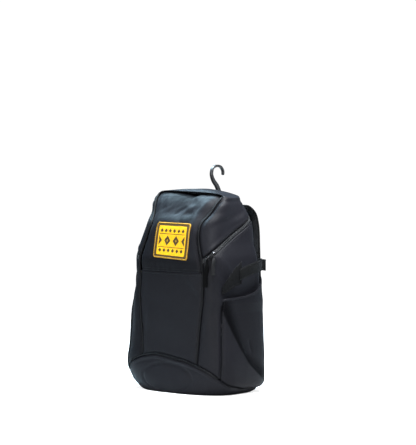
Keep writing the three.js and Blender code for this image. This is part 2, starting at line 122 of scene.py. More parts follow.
def table_at(rows: Rows, at: Number) -> Array:
    """Value in a two-column table, by its first column."""
    return np.interp(at, *np.array(rows, float).T)


def ripple(u: Array, v: Array, length: float, seed: int, waves: int = 7) -> Array:
    """Smooth unevenness from a few seeded sine waves.

    Args:
        u, v: Places in millimetres.
        length: Typical wave length in millimetres.
        seed: Seed of the directions and phases.
        waves: How many waves are summed.

    Returns:
        Values of about -1 to 1.
    """
    rng = np.random.default_rng(seed)
    total = np.zeros(np.broadcast(u, v).shape)
    for _ in range(waves):
        turn, phase = rng.uniform(0, 2 * math.pi, 2)
        size = length * rng.uniform(0.6, 1.7)
        total += np.sin(2 * math.pi * (u * math.cos(turn) + v * math.sin(turn)) / size + phase)
    return total / math.sqrt(2 * waves)


def crease(u: Array, v: Array, start: Pair, end: Pair, spread: float) -> Array:
    """Hill along a straight line between two places, fading at its ends.

    Args:
        u, v: Places.
        start, end: Ends of the line.
        spread: Half width of the hill.

    Returns:
        Heights of 0 to 1.
    """
    line = np.array(end, float) - np.array(start, float)
    length = float(np.hypot(*line))
    along = ((u - start[0]) * line[0] + (v - start[1]) * line[1]) / length
    off = ((u - start[0]) * line[1] - (v - start[1]) * line[0]) / length
    begun = smoothstep(along, -0.15 * length, 0.2 * length)
    return hill(off, 0, spread) * begun * (1 - smoothstep(along, 0.8 * length, 1.15 * length))


def creases(u: Array, v: Array, folds: Sequence[Fold]) -> Array:
    """Sum of creases, each given by its height, start, end and spread."""
    return sum(size * crease(u, v, start, end, spread) for size, start, end, spread in folds)


def puckers(way: Array, distance: Array, size: float, seed: int) -> Array:
    """Lift of the small gathers that a sewn seam leaves in the cloth beside it, in millimetres.

    Args:
        way: Places along the seam.
        distance: Distances from it.
        size: Height of the gathers.
        seed: Shift of their waves.

    Returns:
        Lift in millimetres.
    """
    wave = np.sin(way / 2.9 + 1.7 * np.sin(way / 23 + seed)) + 0.6 * np.sin(way / 5.3 + seed)
    swell = 0.5 + 0.5 * np.sin(way / 37 + 2.1 * seed)
    return size * wave * swell * np.exp(-distance / 9)


def unit(vectors: Array) -> Array:
    """Vectors brought to length 1."""
    return vectors / np.linalg.norm(vectors, axis=-1, keepdims=True)


def square_to(vectors: Array, axis: Array) -> Array:
    """Unit vectors turned square to unit axes."""
    return unit(vectors - (vectors * axis).sum(axis=-1, keepdims=True) * axis)


def way_along(points: Array) -> Array:
    """Distance from the first point at each point of a line."""
    return np.concatenate([[0], np.cumsum(np.linalg.norm(np.diff(points, axis=0), axis=1))])


def even_points(points: Array, steps: int) -> Array:
    """Evenly spaced points along a line.

    Args:
        points: Points of the line.
        steps: Number of steps.

    Returns:
        Steps plus one points.
    """
    way = way_along(points)
    even = np.linspace(0, way[-1], steps + 1)
    return np.stack([np.interp(even, way, column) for column in points.T], axis=1)


def width_along(corners: Array, widths: Array, steps: int) -> Array:
    """Widths given at corner points, at even steps along the line through them."""
    way = way_along(corners)
    return np.interp(np.linspace(0, 1, steps + 1), way / way[-1], widths)


def smooth_route(points: Array, steps: int) -> Array:
    """Smooth curve through points, with even spacing.

    Args:
        points: Corner points, one row each.
        steps: Number of steps on the result.

    Returns:
        Steps plus one points.
    """
    points = np.asarray(points, float)
    knots = np.concatenate([[0], np.cumsum(np.linalg.norm(np.diff(points, axis=0), axis=1) ** 0.5)])
    slopes = np.gradient(points, knots, axis=0)
    fine = np.linspace(0, knots[-1], 40 * len(points))
    i = np.clip(np.searchsorted(knots, fine, side="right") - 1, 0, len(points) - 2)
    width = (knots[i + 1] - knots[i])[:, None]
    t = ((fine - knots[i])[:, None]) / width
    curve = (
        (2 * t**3 - 3 * t**2 + 1) * points[i]
        + (t**3 - 2 * t**2 + t) * width * slopes[i]
        + (3 * t**2 - 2 * t**3) * points[i + 1]
        + (t**3 - t**2) * width * slopes[i + 1]
    )
    return even_points(curve, steps)


# The body's form

def wrapped(around: Array) -> Array:
    """Places around the body brought within -3 to 3."""
    return np.where(np.abs(around) > 3, around - 6 * np.sign(around), around)


@dataclass(frozen=True)
class Section:
    """One level outline of the stuffed body, in millimetres.

    half is its half width, front and back are where it crosses X = 0, the powers say how square its corners
    are, seam is the X of the front seam, and taper is how much wider the back is than the front.
    """

    z: float
    half: float
    front: float
    back: float
    front_power: float
    back_power: float
    seam: float
    taper: float


class BodyForm:
    """Outer skin of the body, by place around it and station up it.

    The place is 0 at the front centre, 1 at the front seam, 2 at the back seam and 3 at the back centre,
    and negative on the left. Station n is section n, below 0 is the bottom and above the last one is the
    top. The draw tables give by height how far each side is drawn in. A bulge says how far a front seam
    is moved out, at what height and over what spread.
    """

    SECTIONS = (
        Section(0, 136, -100, 75, 2.6, 3.7, 76, 0),
        Section(9, 145, -104, 83, 2.7, 4.7, 80, 0),
        Section(28, 154, -106, 87, 3.0, 5.6, 83, 0),
        Section(70, 155, -103, 89, 4.6, 5.6, 84, -0.008),
        Section(120, 150, -99, 89, 4.6, 5.8, 86, -0.004),
        Section(180, 145, -99, 89, 4.6, 6, 92, 0),
        Section(235, 137, -100, 88, 4.8, 6, 96, 0),
        Section(285, 136, -101, 87, 5, 6, 97, 0.01),
        Section(318, 133, -102, 85, 5, 6, 95, 0.02),
        Section(352, 121, -97, 83, 5.4, 6, 84, 0.05),
        Section(394, 111, -88, 80, 6, 6, 77, 0.13),
        Section(420, 107, -67, 79, 6, 5, 81, 0.055),
        Section(441, 104, -48, 78, 6, 3.8, 87, -0.06),
        Section(459, 99, -23, 70, 5.6, 3.2, 95, -0.12),
    )
    TOE_SEAM = ((0, 82), (0.5, 80), (1, 69), (1.16, 48), (1.34, 25), (1.55, 13), (2, 9), (3, 9))
    TOE_RAISE = (
        (-2, 0), (-1.55, 3), (-1.34, 10), (-1.16, 15), (-1, 15), (-0.7, 13), (-0.35, 9), (0, 4), (0.4, 0),
    )
    ZIP_LINE = ((1, 310.5), (2, 418.5))
    HINGE_SEAM = 285
    TOP_CENTRE = (8, 477)
    TOP_FULLNESS = 2.4
    CROWN = (9, 2)
    TILT = 0.03
    TILT_HEIGHTS = (330, 450)
    LEFT_DRAW = (
        (0, 9), (9, 7), (22, 0), (38, -4), (64, -3), (95, 0), (165, -2), (228, -2), (246, 3), (266, 8),
        (286, 4), (305, 2), (345, 2), (370, 4), (398, 7), (414, 6), (432, 0), (450, -9), (477, -9),
    )
    RIGHT_DRAW = (
        (0, -3), (30, -3), (60, 0), (135, 1.5), (165, 1.5), (190, 0), (215, -5), (268, -5), (330, 0),
    )
    LEFT_BULGE = (8.0, 424, 24)
    RIGHT_BULGE = (6.5, 434, 24)
    RIDGE = len(SECTIONS) - 1
    STEP = 0.02

    def __init__(self) -> None:
        """Keeps the columns of the section table and a fine table of heights."""
        keys = [item.name for item in fields(Section)]
        self.columns = {key: np.array([getattr(s, key) for s in self.SECTIONS]) for key in keys}
        self.stations = np.linspace(0, self.RIDGE, 100 * self.RIDGE + 1)
        self.heights = self.column("z", self.stations)

    def column(self, key: str, station: Array) -> Array:
        """Smooth value of one column of the section table.

        Args:
            key: Name of the column.
            station: Stations.

        Returns:
            Values at the stations.
        """
        values, last = self.columns[key], self.RIDGE
        at = np.clip(station, 0, last)
        i = np.clip(np.floor(at).astype(int), 0, last - 1)
        t = at - i
        p0, p1, p2, p3 = (values[np.clip(i + k, 0, last)] for k in (-1, 0, 1, 2))
        slope1, slope2, rise = (p2 - p0) / 2, (p3 - p1) / 2, p2 - p1
        return p1 + t * (slope1 + t * (3 * rise - 2 * slope1 - slope2 + t * (slope1 + slope2 - 2 * rise)))

    def station(self, z: Number) -> Array:
        """Station whose section lies at a height."""
        return np.interp(z, self.heights, self.stations)

    def toe(self, around: Number) -> Array:
        """Station of the toe seam at a place."""
        return self.station(self.toe_height(around))

    def toe_height(self, around: Number) -> Array:
        """Height of the toe seam at a place. It sits higher on the left."""
        return table_at(self.TOE_SEAM, np.abs(around)) + table_at(self.TOE_RAISE, around)

    def zip(self, around: Number, offset: Number = 0.0) -> Array:
        """Station of the zip line at a place, or of a line above or below it."""
        return self.station(table_at(self.ZIP_LINE, np.abs(around)) + offset)

    def around_at_x(self, x: Array, z: Array) -> Array:
        """Place on the front where the skin reaches an X at a height."""
        station = self.station(z)
        return np.sign(x) * self._way_at_x(station, np.abs(x)) / self._seam_way(station, x < 0)

    def _seam_way(self, station: Array, left: Array) -> Array:
        """Way along a square outline at which the front seam lies.

        Args:
            station: Stations.
            left: Whether each is on the left.

        Returns:
            Ways from the front centre.
        """
        z = self.column("z", station)
        bulges = (self.LEFT_BULGE, self.RIGHT_BULGE)
        out = np.where(left, *(size * hill(z, centre, spread) for size, centre, spread in bulges))
        return self._way_at_x(station, self.column("seam", station) + out)

    def _way_at_x(self, station: Array, x: Array) -> Array:
        """Way along a square outline at which the front of a section reaches an X.

        Args:
            station: Stations.
            x: Distances from the middle.

        Returns:
            Ways from the front centre.
        """
        power = self.column("front_power", station)
        ratio = x / (self.column("half", station) * (1 - self.column("taper", station)))
        p = ratio / (1 - np.clip(ratio, 0, 0.999) ** power) ** (1 / power)
        return np.where(p <= 1, p, 2 - 1 / np.maximum(p, 1e-6))

    def point(self, around: Number, station: Number) -> Array:
        """Points of the skin, in millimetres.

        Args:
            around: Places around.
            station: Stations.

        Returns:
            Points.
        """
        around, station = np.broadcast_arrays(np.asarray(around, float), np.asarray(station, float))
        place = wrapped(around)
        a = np.abs(place)
        column = {key: self.column(key, station) for key in self.columns}
        seam_way = self._seam_way(station, place < 0)
        way = np.where(a <= 1, a * seam_way, np.where(a <= 2, lerp(seam_way, 3.0, a - 1), a + 1))
        p = np.where(way <= 1, way, np.where(way <= 3, 1.0, 4 - way))
        q = np.where(way <= 1, -1.0, np.where(way <= 3, way - 2, 1.0))
        power = lerp(column["front_power"], column["back_power"], (q + 1) / 2)
        reach = (np.abs(p) ** power + np.abs(q) ** power) ** (1 / power)
        depth, out = q / reach, p / reach
        x = np.sign(place) * out * column["half"] * (1 + column["taper"] * depth)
        y = lerp(column["front"], column["back"], (1 + depth) / 2)
        z = column["z"]
        x = x + np.where(place < 0, table_at(self.LEFT_DRAW, z), -table_at(self.RIGHT_DRAW, z)) * out**2
        crown = self.CROWN[0] - self.CROWN[1] * depth
        z = z + smoothstep(station, self.RIDGE - 2, self.RIDGE) * crown * (1 - out**6)
        z = z - self.TILT * x * smoothstep(z, *self.TILT_HEIGHTS)
        share = np.clip(self.RIDGE + 1 - station, 0, 1)
        y, z = lerp(self.TOP_CENTRE[0], y, share), lerp(self.TOP_CENTRE[1], z, share**self.TOP_FULLNESS)
        foot = np.clip(station + 1, 0, 1)
        return np.stack([x * share * foot, y * foot, z], axis=-1)

    def normal(self, around: Number, station: Number) -> Array:
        """Outward directions of the skin, from short steps along it.

        Args:
            around: Places around.
            station: Stations.

        Returns:
            Unit vectors.
        """
        along = self.point(around + self.STEP, station) - self.point(around - self.STEP, station)
        up = self.point(around, station + self.STEP) - self.point(around, station - self.STEP)
        normal = np.cross(along, up)
        station = np.asarray(station)
        pole = (station <= -0.5) | (station >= self.RIDGE + 0.9)
        axis = np.where(station < 0, -1.0, 1.0)[..., None] * UP
        normal = np.where(np.broadcast_to(pole, normal.shape[:-1])[..., None], axis, normal)
        return normal / np.maximum(np.linalg.norm(normal, axis=-1, keepdims=True), 1e-9)

    def skin(self, around: Number, station: Number, lift: Number) -> Array:
        """Points at a height above the skin."""
        around, station = np.broadcast_arrays(np.asarray(around, float), np.asarray(station, float))
        return self.point(around, station) + self.normal(around, station) * np.asarray(lift)[..., None]

    def path(self, side: Side, rows: Rows) -> Array:
        """Points on one side, from rows of place, height and lift."""
        table = np.array(rows)
        return self.skin(side.value * table[:, 0], self.station(table[:, 1]), table[:, 2])


FORM = BodyForm()


# Meshes

def grid_faces(rows: int, columns: int, start: int = 0) -> Array:
    """Quads of a net with rows by columns points, in the order of the points."""
    ids = start + np.arange(rows * columns).reshape(rows, columns)
    return np.stack([ids[:-1, :-1], ids[:-1, 1:], ids[1:, 1:], ids[1:, :-1]], axis=-1).reshape(-1, 4)


@dataclass
class Mesh:
    """Points in metres and faces of a piece, with a flat map in metres and a seam mask of dark seams and
    painted shade for each point.
    """

    WELD = 0.00002

    points: Array
    faces: list[Sequence[int]]
    flat: Array
    seam: Array

    @classmethod
    def joined(cls, parts: Sequence[Mesh]) -> Mesh:
        """Several meshes as one.

        Args:
            parts: The meshes.

        Returns:
            The joined mesh.
        """
        starts = np.cumsum([0] + [len(part.points) for part in parts])
        faces = [np.asarray(face) + start for part, start in zip(parts, starts) for face in part.faces]
        points, flat, seam = (
            np.concatenate([getattr(part, key) for part in parts]) for key in ("points", "flat", "seam")
        )
        return cls(points, faces, flat, seam)

    def moved(self, spot: Array, along: Array, up: Array) -> Mesh:
        """The mesh turned so that its X lies along and its Z up, and moved to a spot in millimetres.

        Args:
            spot: Where its origin goes.
            along, up: Where its X and Z go.

        Returns:
            The moved mesh.
        """
        along = unit(along)
        up = square_to(up, along)
        turn = np.stack([along, np.cross(up, along), up])
        return Mesh(self.points @ turn + spot * MM, self.faces, self.flat, self.seam)

    def to_data(self, name: str) -> bpy.types.Mesh:
        """Blender mesh with smooth faces, welded where points meet.

        Args:
            name: Its name.

        Returns:
            The mesh.
        """
        data = bpy.data.meshes.new(name)
        data.from_pydata(self.points.tolist(), [], [list(map(int, face)) for face in self.faces])
        corner = np.zeros(len(data.loops), np.int32)
        data.loops.foreach_get("vertex_index", corner)
        layer = data.uv_layers.new(name="flat")
        layer.data.foreach_set("uv", self.flat[corner].astype(np.float32).ravel())
        # The seam mask holds dark seams and painted shade.
        mask = data.attributes.new("seam", "FLOAT", "POINT")
        mask.data.foreach_set("value", self.seam.astype(np.float32).ravel())
        edit = bmesh.new()
        edit.from_mesh(data)
        bmesh.ops.remove_doubles(edit, verts=edit.verts, dist=self.WELD)
        bmesh.ops.dissolve_degenerate(edit, edges=edit.edges, dist=self.WELD / 4)
        edit.to_mesh(data)
        edit.free()
        data.shade_smooth()
        data.update()
        return data


def tube(rings: Array) -> Mesh:
    """Closed tube with flat ends, in metres, from rings by ring points in millimetres.

    Args:
        rings: Rings by ring points by three.

    Returns:
        The tube's mesh.
    """
    count, sides = rings.shape[:2]
    closed = np.concatenate([rings, rings[:, :1]], axis=1)
    girth = np.linalg.norm(np.diff(closed, axis=1), axis=-1).mean(axis=0)
    around = np.concatenate([[0], np.cumsum(girth)])
    along = way_along(rings.mean(axis=1))
    flat = np.stack(np.broadcast_arrays(around[None, :], along[:, None]), axis=-1) * MM
    cap = np.arange(sides)
    faces = [*grid_faces(count, sides + 1), cap[::-1], cap + (count - 1) * (sides + 1)]
    points = closed.reshape(-1, 3) * MM
    return Mesh(points, faces, flat.reshape(-1, 2), np.zeros(len(points)))


def slab(outline: Array, levels: Rows) -> Mesh:
    """Flat plate about the origin, in metres.

    Args:
        outline: Outline about its middle, counter-clockwise, in millimetres.
        levels: Height and inset of each ring, from below to above.

    Returns:
        The plate's mesh.
    """
    reach = np.linalg.norm(outline, axis=1, keepdims=True)
    rings = [np.insert(outline * (1 - inset / reach), 2, height, axis=1) for height, inset in levels]
    return tube(np.array(rings))


def rounded_profile(width: float, thickness: float, corner: float, steps: int = 3) -> Array:
    """Outline of a rounded rectangle about its middle, counter-clockwise, in millimetres.

    Args:
        width, thickness: Its sides.
        corner: Radius of its corners.
        steps: Steps on each corner.

    Returns:
        Points of the outline.
    """
    outline = []
    for k, (sx, sy) in enumerate(((1, 1), (-1, 1), (-1, -1), (1, -1))):
        for j in range(steps + 1):
            turn = (k + j / steps) * math.pi / 2
            x = sx * (width / 2 - corner) + corner * math.cos(turn)
            y = sy * (thickness / 2 - corner) + corner * math.sin(turn)
            outline.append((x, y))
    return np.array(outline)


@dataclass
class Route:
    """A path in space with the direction of a band's width and thickness along it, in millimetres."""

    points: Array
    wide: Array
    thick: Array

    @classmethod
    def along(cls, points: Array, steps: int, width_axis: Array, upright: bool = True) -> Route:
        """Smooth route through points.

        Args:
            points: Corner points in millimetres.
            steps: Number of steps.
            width_axis: Direction of the width.
            upright: Whether the width keeps that direction, or is turned square to the path.

        Returns:
            The route.
        """
        line = smooth_route(points, steps)
        tangent = unit(np.gradient(line, axis=0))
        wide = np.broadcast_to(np.asarray(width_axis, float), line.shape)
        wide = unit(wide) if upright else square_to(wide, tangent)
        return cls(line, wide, unit(np.cross(tangent, wide)))

    def shifted(self, offset: Array) -> Route:
        """The route moved by an offset at each point."""
        return Route(self.points + offset, self.wide, self.thick)

    def band(self, profile: Array, width: Number = 1.0, thickness: Number = 1.0) -> Mesh:
        """Section swept along the route, stretched in width and thickness at each point."""
        return tube(self.rings(profile, width, thickness))

    def rings(self, profile: Array, width: Number = 1.0, thickness: Number = 1.0) -> Array:
        """Rings of a section along the route, stretched in width and thickness at each point.

        Args:
            profile: Points of the section.
            width, thickness: Its stretch.

        Returns:
            Rings by ring points by three.
        """
        count = len(self.points)
        wide, deep = (np.broadcast_to(scale, count)[:, None, None] for scale in (width, thickness))
        across = profile[:, :1] * wide * self.wide[:, None]
        return self.points[:, None] + across + profile[:, 1:] * deep * self.thick[:, None]


# Shader groups and finishes

class NodeSketch:
    """Adds nodes to a tree and links them."""

    def __init__(self, tree: Tree) -> None:
        """Keeps the tree."""
        self.tree = tree

    def add(self, kind: str, values: dict | None = None, **settings: object) -> Node:
        """New node.

        Args:
            kind: Blender's name of the node.
            values: Values or sockets for its inputs.
            settings: Properties of the node.

        Returns:
            The node.
        """
        node = self.tree.nodes.new(kind)
        for key, value in settings.items():
            setattr(node, key, value)
        self.fill(node, values or {})
        return node

    def fill(self, node: Node, values: dict) -> None:
        """Sets inputs of a node, or links them where the value is a socket.

        Args:
            node: The node.
            values: Values or sockets by input.
        """
        for key, value in values.items():
            if isinstance(value, Socket):
                self.tree.links.new(value, node.inputs[key])
            else:
                node.inputs[key].default_value = value

    def math(self, operation: str, *values: object) -> Socket:
        """Result of a Math node."""
        return self.add("ShaderNodeMath", dict(enumerate(values)), operation=operation).outputs[0]

    def mix(self, factor: object, a: object, b: object) -> Socket:
        """Mix of two colours."""
        return self.add("ShaderNodeMix", {0: factor, 6: a, 7: b}, data_type="RGBA").outputs[2]

    def span(self, value: object, low: float, high: float) -> Socket:
        """Value from 0 to 1 spread over low to high."""
        return self.add("ShaderNodeMapRange", {"Value": value, "To Min": low, "To Max": high}).outputs[0]

    def noise(self, place: object, scale: object, detail: float, **more: float) -> Socket:
        """Value of a noise texture."""
        values = {"Vector": place, "Scale": scale, "Detail": detail, **more}
        return self.add("ShaderNodeTexNoise", values).outputs[0]

    def bump(self, height: object, distance: float, strength: float, **more: object) -> object:
        """Normal of a surface with a height on it."""
        values = {"Height": height, "Distance": distance, "Strength": strength, **more}
        return self.add("ShaderNodeBump", values).outputs[0]


class NodeGroup(NodeSketch):
    """Sketch of a new group, whose sockets are given by name and kind."""

    def __init__(self, name: str, tree: str, inputs: dict[str, str], outputs: dict[str, str]) -> None:
        """Makes the group and its sockets.

        Args:
            name: Name of the group.
            tree: Blender's name of its kind.
            inputs, outputs: Kinds by name.
        """
        super().__init__(bpy.data.node_groups.new(name, tree))
        for way, sockets in (("INPUT", inputs), ("OUTPUT", outputs)):
            for key, kind in sockets.items():
                self.tree.interface.new_socket(name=key, in_out=way, socket_type="NodeSocket" + kind)
        self.give = self.add("NodeGroupInput").outputs
        self.end = self.add("NodeGroupOutput")


@functools.cache
def weave_group() -> Tree:
    """Plain weave: Height of the threads and a Gap mask, from a flat map in metres.

    Returns:
        The group's tree.
    """
    inputs = {"Vector": "Vector", "Pitch": "Float", "Ribs": "Float"}
    group = NodeGroup("thread weave", "ShaderNodeTree", inputs, {"Height": "Float", "Gap": "Float"})
    parts = group.add("ShaderNodeSeparateXYZ", {"Vector": group.give["Vector"]}).outputs
    counts = [group.math("DIVIDE", parts[axis], group.give["Pitch"]) for axis in (0, 1)]
    waves = [group.math("SINE", group.math("MULTIPLY", count, math.pi)) for count in counts]
    over = group.math("GREATER_THAN", group.math("MULTIPLY", *waves), 0.0)
    warp, weft = (group.math("ABSOLUTE", wave) for wave in waves)
    ribs = group.math("MULTIPLY", weft, group.give["Ribs"])
    crossing = group.math("ADD", group.math("MULTIPLY", over, warp), ribs)
    under = group.math("MULTIPLY", group.math("SUBTRACT", 1.0, over), weft)
    gap = group.math("LESS_THAN", group.math("MULTIPLY", warp, weft), 0.08)
    group.fill(group.end, {"Height": group.math("ADD", crossing, under), "Gap": gap})
    return group.tree


@functools.cache
def use_group() -> Tree:
    """Wear of cloth and painted shade: Tone of its colour, darker under the seam mask of dark seams and
    painted shade, Rough shift and soft Height, from a place and that mask.

    Returns:
        The group's tree.
    """
    inputs = {"Vector": "Vector", "Seam": "Float", "Size": "Float"}
    outputs = {"Tone": "Float", "Rough": "Float", "Height": "Float"}
    group = NodeGroup("cloth use", "ShaderNodeTree", inputs, outputs)
    broad = group.noise(group.give["Vector"], group.give["Size"], 4.0, Roughness=0.55)
    grain = group.noise(group.give["Vector"], group.math("MULTIPLY", group.give["Size"], 40.0), 2.0)
    tone = group.math("MULTIPLY_ADD", broad, 0.6, group.math("MULTIPLY", grain, 0.4))
    # Painted shade: the seam mask lowers the tone along seams and in painted shadows.
    shade = group.math("MULTIPLY_ADD", group.give["Seam"], -0.35, tone)
    clamped = group.add("ShaderNodeClamp", {"Value": shade}).outputs[0]
    group.fill(group.end, {"Tone": clamped, "Rough": group.math("SUBTRACT", broad, 0.5), "Height": broad})
    return group.tree


def new_material(name: str) -> tuple[bpy.types.Material, NodeSketch, Node]:
    """New material, a sketch of its tree and its Principled shader.

    Args:
        name: Name of the material.

    Returns:
        The three of them.
    """
    material = bpy.data.materials.new(name)
    material.use_nodes = True
    shader = next(node for node in material.node_tree.nodes if node.type == "BSDF_PRINCIPLED")
    return material, NodeSketch(material.node_tree), shader


class Finish:
    """Look of a surface."""

    name: str

    def material(self) -> bpy.types.Material:
        """The finish's material, drawn when it is first asked for.

        Returns:
            The material.
        """
        material = bpy.data.materials.get(self.name)
        if not material:
            material, sketch, shader = new_material(self.name)
            self.draw(sketch, shader)
        return material

    def draw(self, sketch: NodeSketch, shader: Node) -> None:
        """Adds the nodes that feed the shader."""
        raise NotImplementedError


@dataclass(frozen=True)
class ClothFinish(Finish):
    """A woven or coated cloth.

    dark and light are the ends of its colour, pitch is its thread spacing in metres, relief the height of
    its threads in metres, ribs how much it is ribbed across, and patches the scale of its unevenness. When
    the flag for dark seams and shade is set, the seam mask, raised to a power, darkens it towards the shadow
    colour and dulls its gloss: dark seams with painted shade, and painted shadow in folds, creases and gaps.
    """

    SEAM_POWER = 5.0
    SEAM_SHADE = 0.85
    GAP_SHADE = 0.5
    UNEVEN_HEIGHT = 0.0012

    name: str
    dark: Triple
    light: Triple
    roughness: float
    specular: float = 0.1
    sheen: float = 0.02
    sheen_tint: Triple = (0.75, 0.85, 1.0)
    pitch: float = 0.0009
    relief: float = 0.00006
    ribs: float = 0.0
    patches: float = 14.0
    seams: bool = False
    shadow: Triple = (0.0012, 0.0012, 0.0014)

    def draw(self, sketch: NodeSketch, shader: Node) -> None:
        """Draws weave, soft unevenness, and darker seams with painted shade.

        Args:
            sketch: Sketch of the material's tree.
            shader: Its shader.
        """
        place = sketch.add("ShaderNodeTexCoord").outputs
        # The seam mask holds dark seams and painted shadow.
        seam = sketch.add("ShaderNodeAttribute", attribute_name="seam").outputs["Fac"]
        weave = {"Vector": place["UV"], "Pitch": self.pitch, "Ribs": self.ribs}
        threads = sketch.add("ShaderNodeGroup", weave, node_tree=weave_group()).outputs
        # These inputs also carry the seam mask, which paints shade into the tone.
        wear = {"Vector": place["Object"], "Seam": seam, "Size": self.patches}
        wear_and_shade = sketch.add("ShaderNodeGroup", wear, node_tree=use_group()).outputs
        base = sketch.mix(wear_and_shade["Tone"], (*self.dark, 1), (*self.light, 1))
        woven = sketch.mix(sketch.math("MULTIPLY", threads["Gap"], self.GAP_SHADE), base, (*self.dark, 1))
        gloss = {"Specular IOR Level": self.specular, "Sheen Weight": self.sheen}
        sketch.fill(shader, {**gloss, "Sheen Roughness": 0.45, "Sheen Tint": (*self.sheen_tint, 1)})
        # Painted shade: the seam mask darkens the colour towards the shadow colour and dulls specular and
        # sheen, along seams and in painted shadows.
        if self.seams:
            shadow = sketch.math("MULTIPLY", sketch.math("POWER", seam, self.SEAM_POWER), self.SEAM_SHADE)
            woven = sketch.mix(shadow, woven, (*self.shadow, 1))
            for key, value in gloss.items():
                sketch.fill(shader, {key: sketch.math("MULTIPLY_ADD", shadow, -value, value)})
        soft = sketch.bump(wear_and_shade["Height"], self.UNEVEN_HEIGHT, 0.35)
        values = {
            "Base Color": woven,
            "Roughness": sketch.math("MULTIPLY_ADD", wear_and_shade["Rough"], 0.2, self.roughness),
            "Normal": sketch.bump(threads["Height"], self.relief, 0.8, Normal=soft),
        }
        sketch.fill(shader, values)


@dataclass(frozen=True)
class HardFinish(Finish):
    """A moulded plastic or a metal with fine grain and light wear."""

    SMEARS = 60.0
    GLOSS_RANGE = 0.08

    name: str
    dark: Triple
    light: Triple
    roughness: float
    metallic: float = 0.0
    specular: float = 0.4
    grain: float = 900.0
    relief: float = 0.00005

    def draw(self, sketch: NodeSketch, shader: Node) -> None:
        """Draws grain in colour, gloss and surface.

        Args:
            sketch: Sketch of the material's tree.
            shader: Its shader.
        """
        place = sketch.add("ShaderNodeTexCoord").outputs["Object"]
        grain = sketch.noise(place, self.grain, 3.0)
        smears = sketch.noise(place, self.SMEARS, 5.0)
        glossy, dull = self.roughness - self.GLOSS_RANGE, self.roughness + self.GLOSS_RANGE
        values = {
            "Base Color": sketch.mix(smears, (*self.dark, 1), (*self.light, 1)),
            "Metallic": self.metallic,
            "Specular IOR Level": self.specular,
            "Roughness": sketch.span(smears, glossy, dull),
            "Normal": sketch.bump(grain, self.relief, 0.5),
        }
        sketch.fill(shader, values)


@dataclass(frozen=True)
class BadgeFinish(Finish):
    """A woven badge with a sewn border, an inner line and rows of plain lozenges on a gold field.

    Lengths are in metres. large and small give the pitch, half width and half height of the lozenges.
    line, ring and bar give the middle and half width of the inner line, of a large lozenge's frame
    and of the bars.
    """

    name: str = "badge weave"
    field: Triple = (0.7, 0.37, 0.005)
    border: Triple = (0.32, 0.17, 0.015)
    ink: Triple = (0.012, 0.011, 0.010)
    width: float = 0.103
    height: float = 0.088
    rim: float = 0.0026
    line: Pair = (0.0057, 0.0031)
    large: Triple = (0.0262, 0.0098, 0.0125)
    small: Triple = (0.0131, 0.0048, 0.0052)
    small_row: float = 0.0238
    ring: Pair = (0.62, 0.38)
    core: float = 0.14
    bar: Pair = (0.0160, 0.0008)
    reach: float = 0.0393
    rounding: float = 0.004
    ink_share: float = 0.93
    tones: Pair = (0.8, 1.2)
    roughness: Pair = (0.55, 0.75)
    pitch: float = 0.0011
    ribs: float = 0.3
    relief: float = 0.0002

    def draw(self, sketch: NodeSketch, shader: Node) -> None:
        """Draws the badge on its flat map, whose middle is 0, 0.

        Args:
            sketch: Sketch of the material's tree.
            shader: Its shader.
        """
        place = sketch.add("ShaderNodeTexCoord").outputs
        x, y = sketch.add("ShaderNodeSeparateXYZ", {"Vector": place["UV"]}).outputs[:2]
        insets = []
        for size, part in ((self.width, x), (self.height, y)):
            insets.append(sketch.math("SUBTRACT", size / 2, sketch.math("ABSOLUTE", part)))
        inset = sketch.math("SMOOTH_MIN", *insets, self.rounding)
        weave = {"Vector": place["UV"], "Pitch": self.pitch, "Ribs": self.ribs}
        threads = sketch.add("ShaderNodeGroup", weave, node_tree=weave_group()).outputs
        worn = sketch.noise(place["Object"], 120.0, 4.0)
        ink = (*self.ink, 1)
        drawn = sketch.mix(worn, *((*(tone * c for c in self.field), 1) for tone in self.tones))
        for mask in (self._lozenges(sketch, x, y), sketch.math("COMPARE", inset, *self.line)):
            drawn = sketch.mix(sketch.math("MULTIPLY", mask, self.ink_share), drawn, ink)
        drawn = sketch.mix(sketch.math("LESS_THAN", inset, self.rim), drawn, (*self.border, 1))
        values = {
            "Base Color": sketch.mix(sketch.math("MULTIPLY", threads["Gap"], 0.3), drawn, ink),
            "Roughness": sketch.span(worn, *self.roughness),
            "Specular IOR Level": 0.15,
            "Normal": sketch.bump(threads["Height"], self.relief, 0.8),
        }
        sketch.fill(shader, values)

    def _lozenges(self, sketch: NodeSketch, x: Socket, y: Socket) -> Socket:
        """Mask of three rows of lozenges, large ones in the middle row, with thin bars between the rows.

        Args:
            sketch: Sketch of the material's tree.
            x, y: Places on the badge in metres.

        Returns:
            The mask.
        """
        tall = sketch.math("ABSOLUTE", y)

        def row(pitch: float, half: float, rise: float, up: Socket) -> Socket:
            """Distance from the middles of a row's lozenges, 1 at their edges.

            Args:
                pitch: Their spacing.
                half, rise: Half their width and height.
                up: Height above the row.

            Returns:
                The distance.
            """
            inside = sketch.math("SUBTRACT", sketch.math("FLOORED_MODULO", x, pitch), pitch / 2)
            across = sketch.math("DIVIDE", sketch.math("ABSOLUTE", inside), half)
            return sketch.math("ADD", across, sketch.math("DIVIDE", up, rise))

        middle = row(*self.large, tall)
        off = sketch.math("ABSOLUTE", sketch.math("SUBTRACT", tall, self.small_row))
        marks = sketch.math("COMPARE", middle, *self.ring)
        for other in (
            sketch.math("LESS_THAN", middle, self.core),
            sketch.math("LESS_THAN", row(*self.small, off), 1.0),
            sketch.math("COMPARE", tall, *self.bar),
        ):
            marks = sketch.math("MAXIMUM", marks, other)
        inside = sketch.math("LESS_THAN", sketch.math("ABSOLUTE", x), self.reach)
        return sketch.math("MULTIPLY", marks, inside)


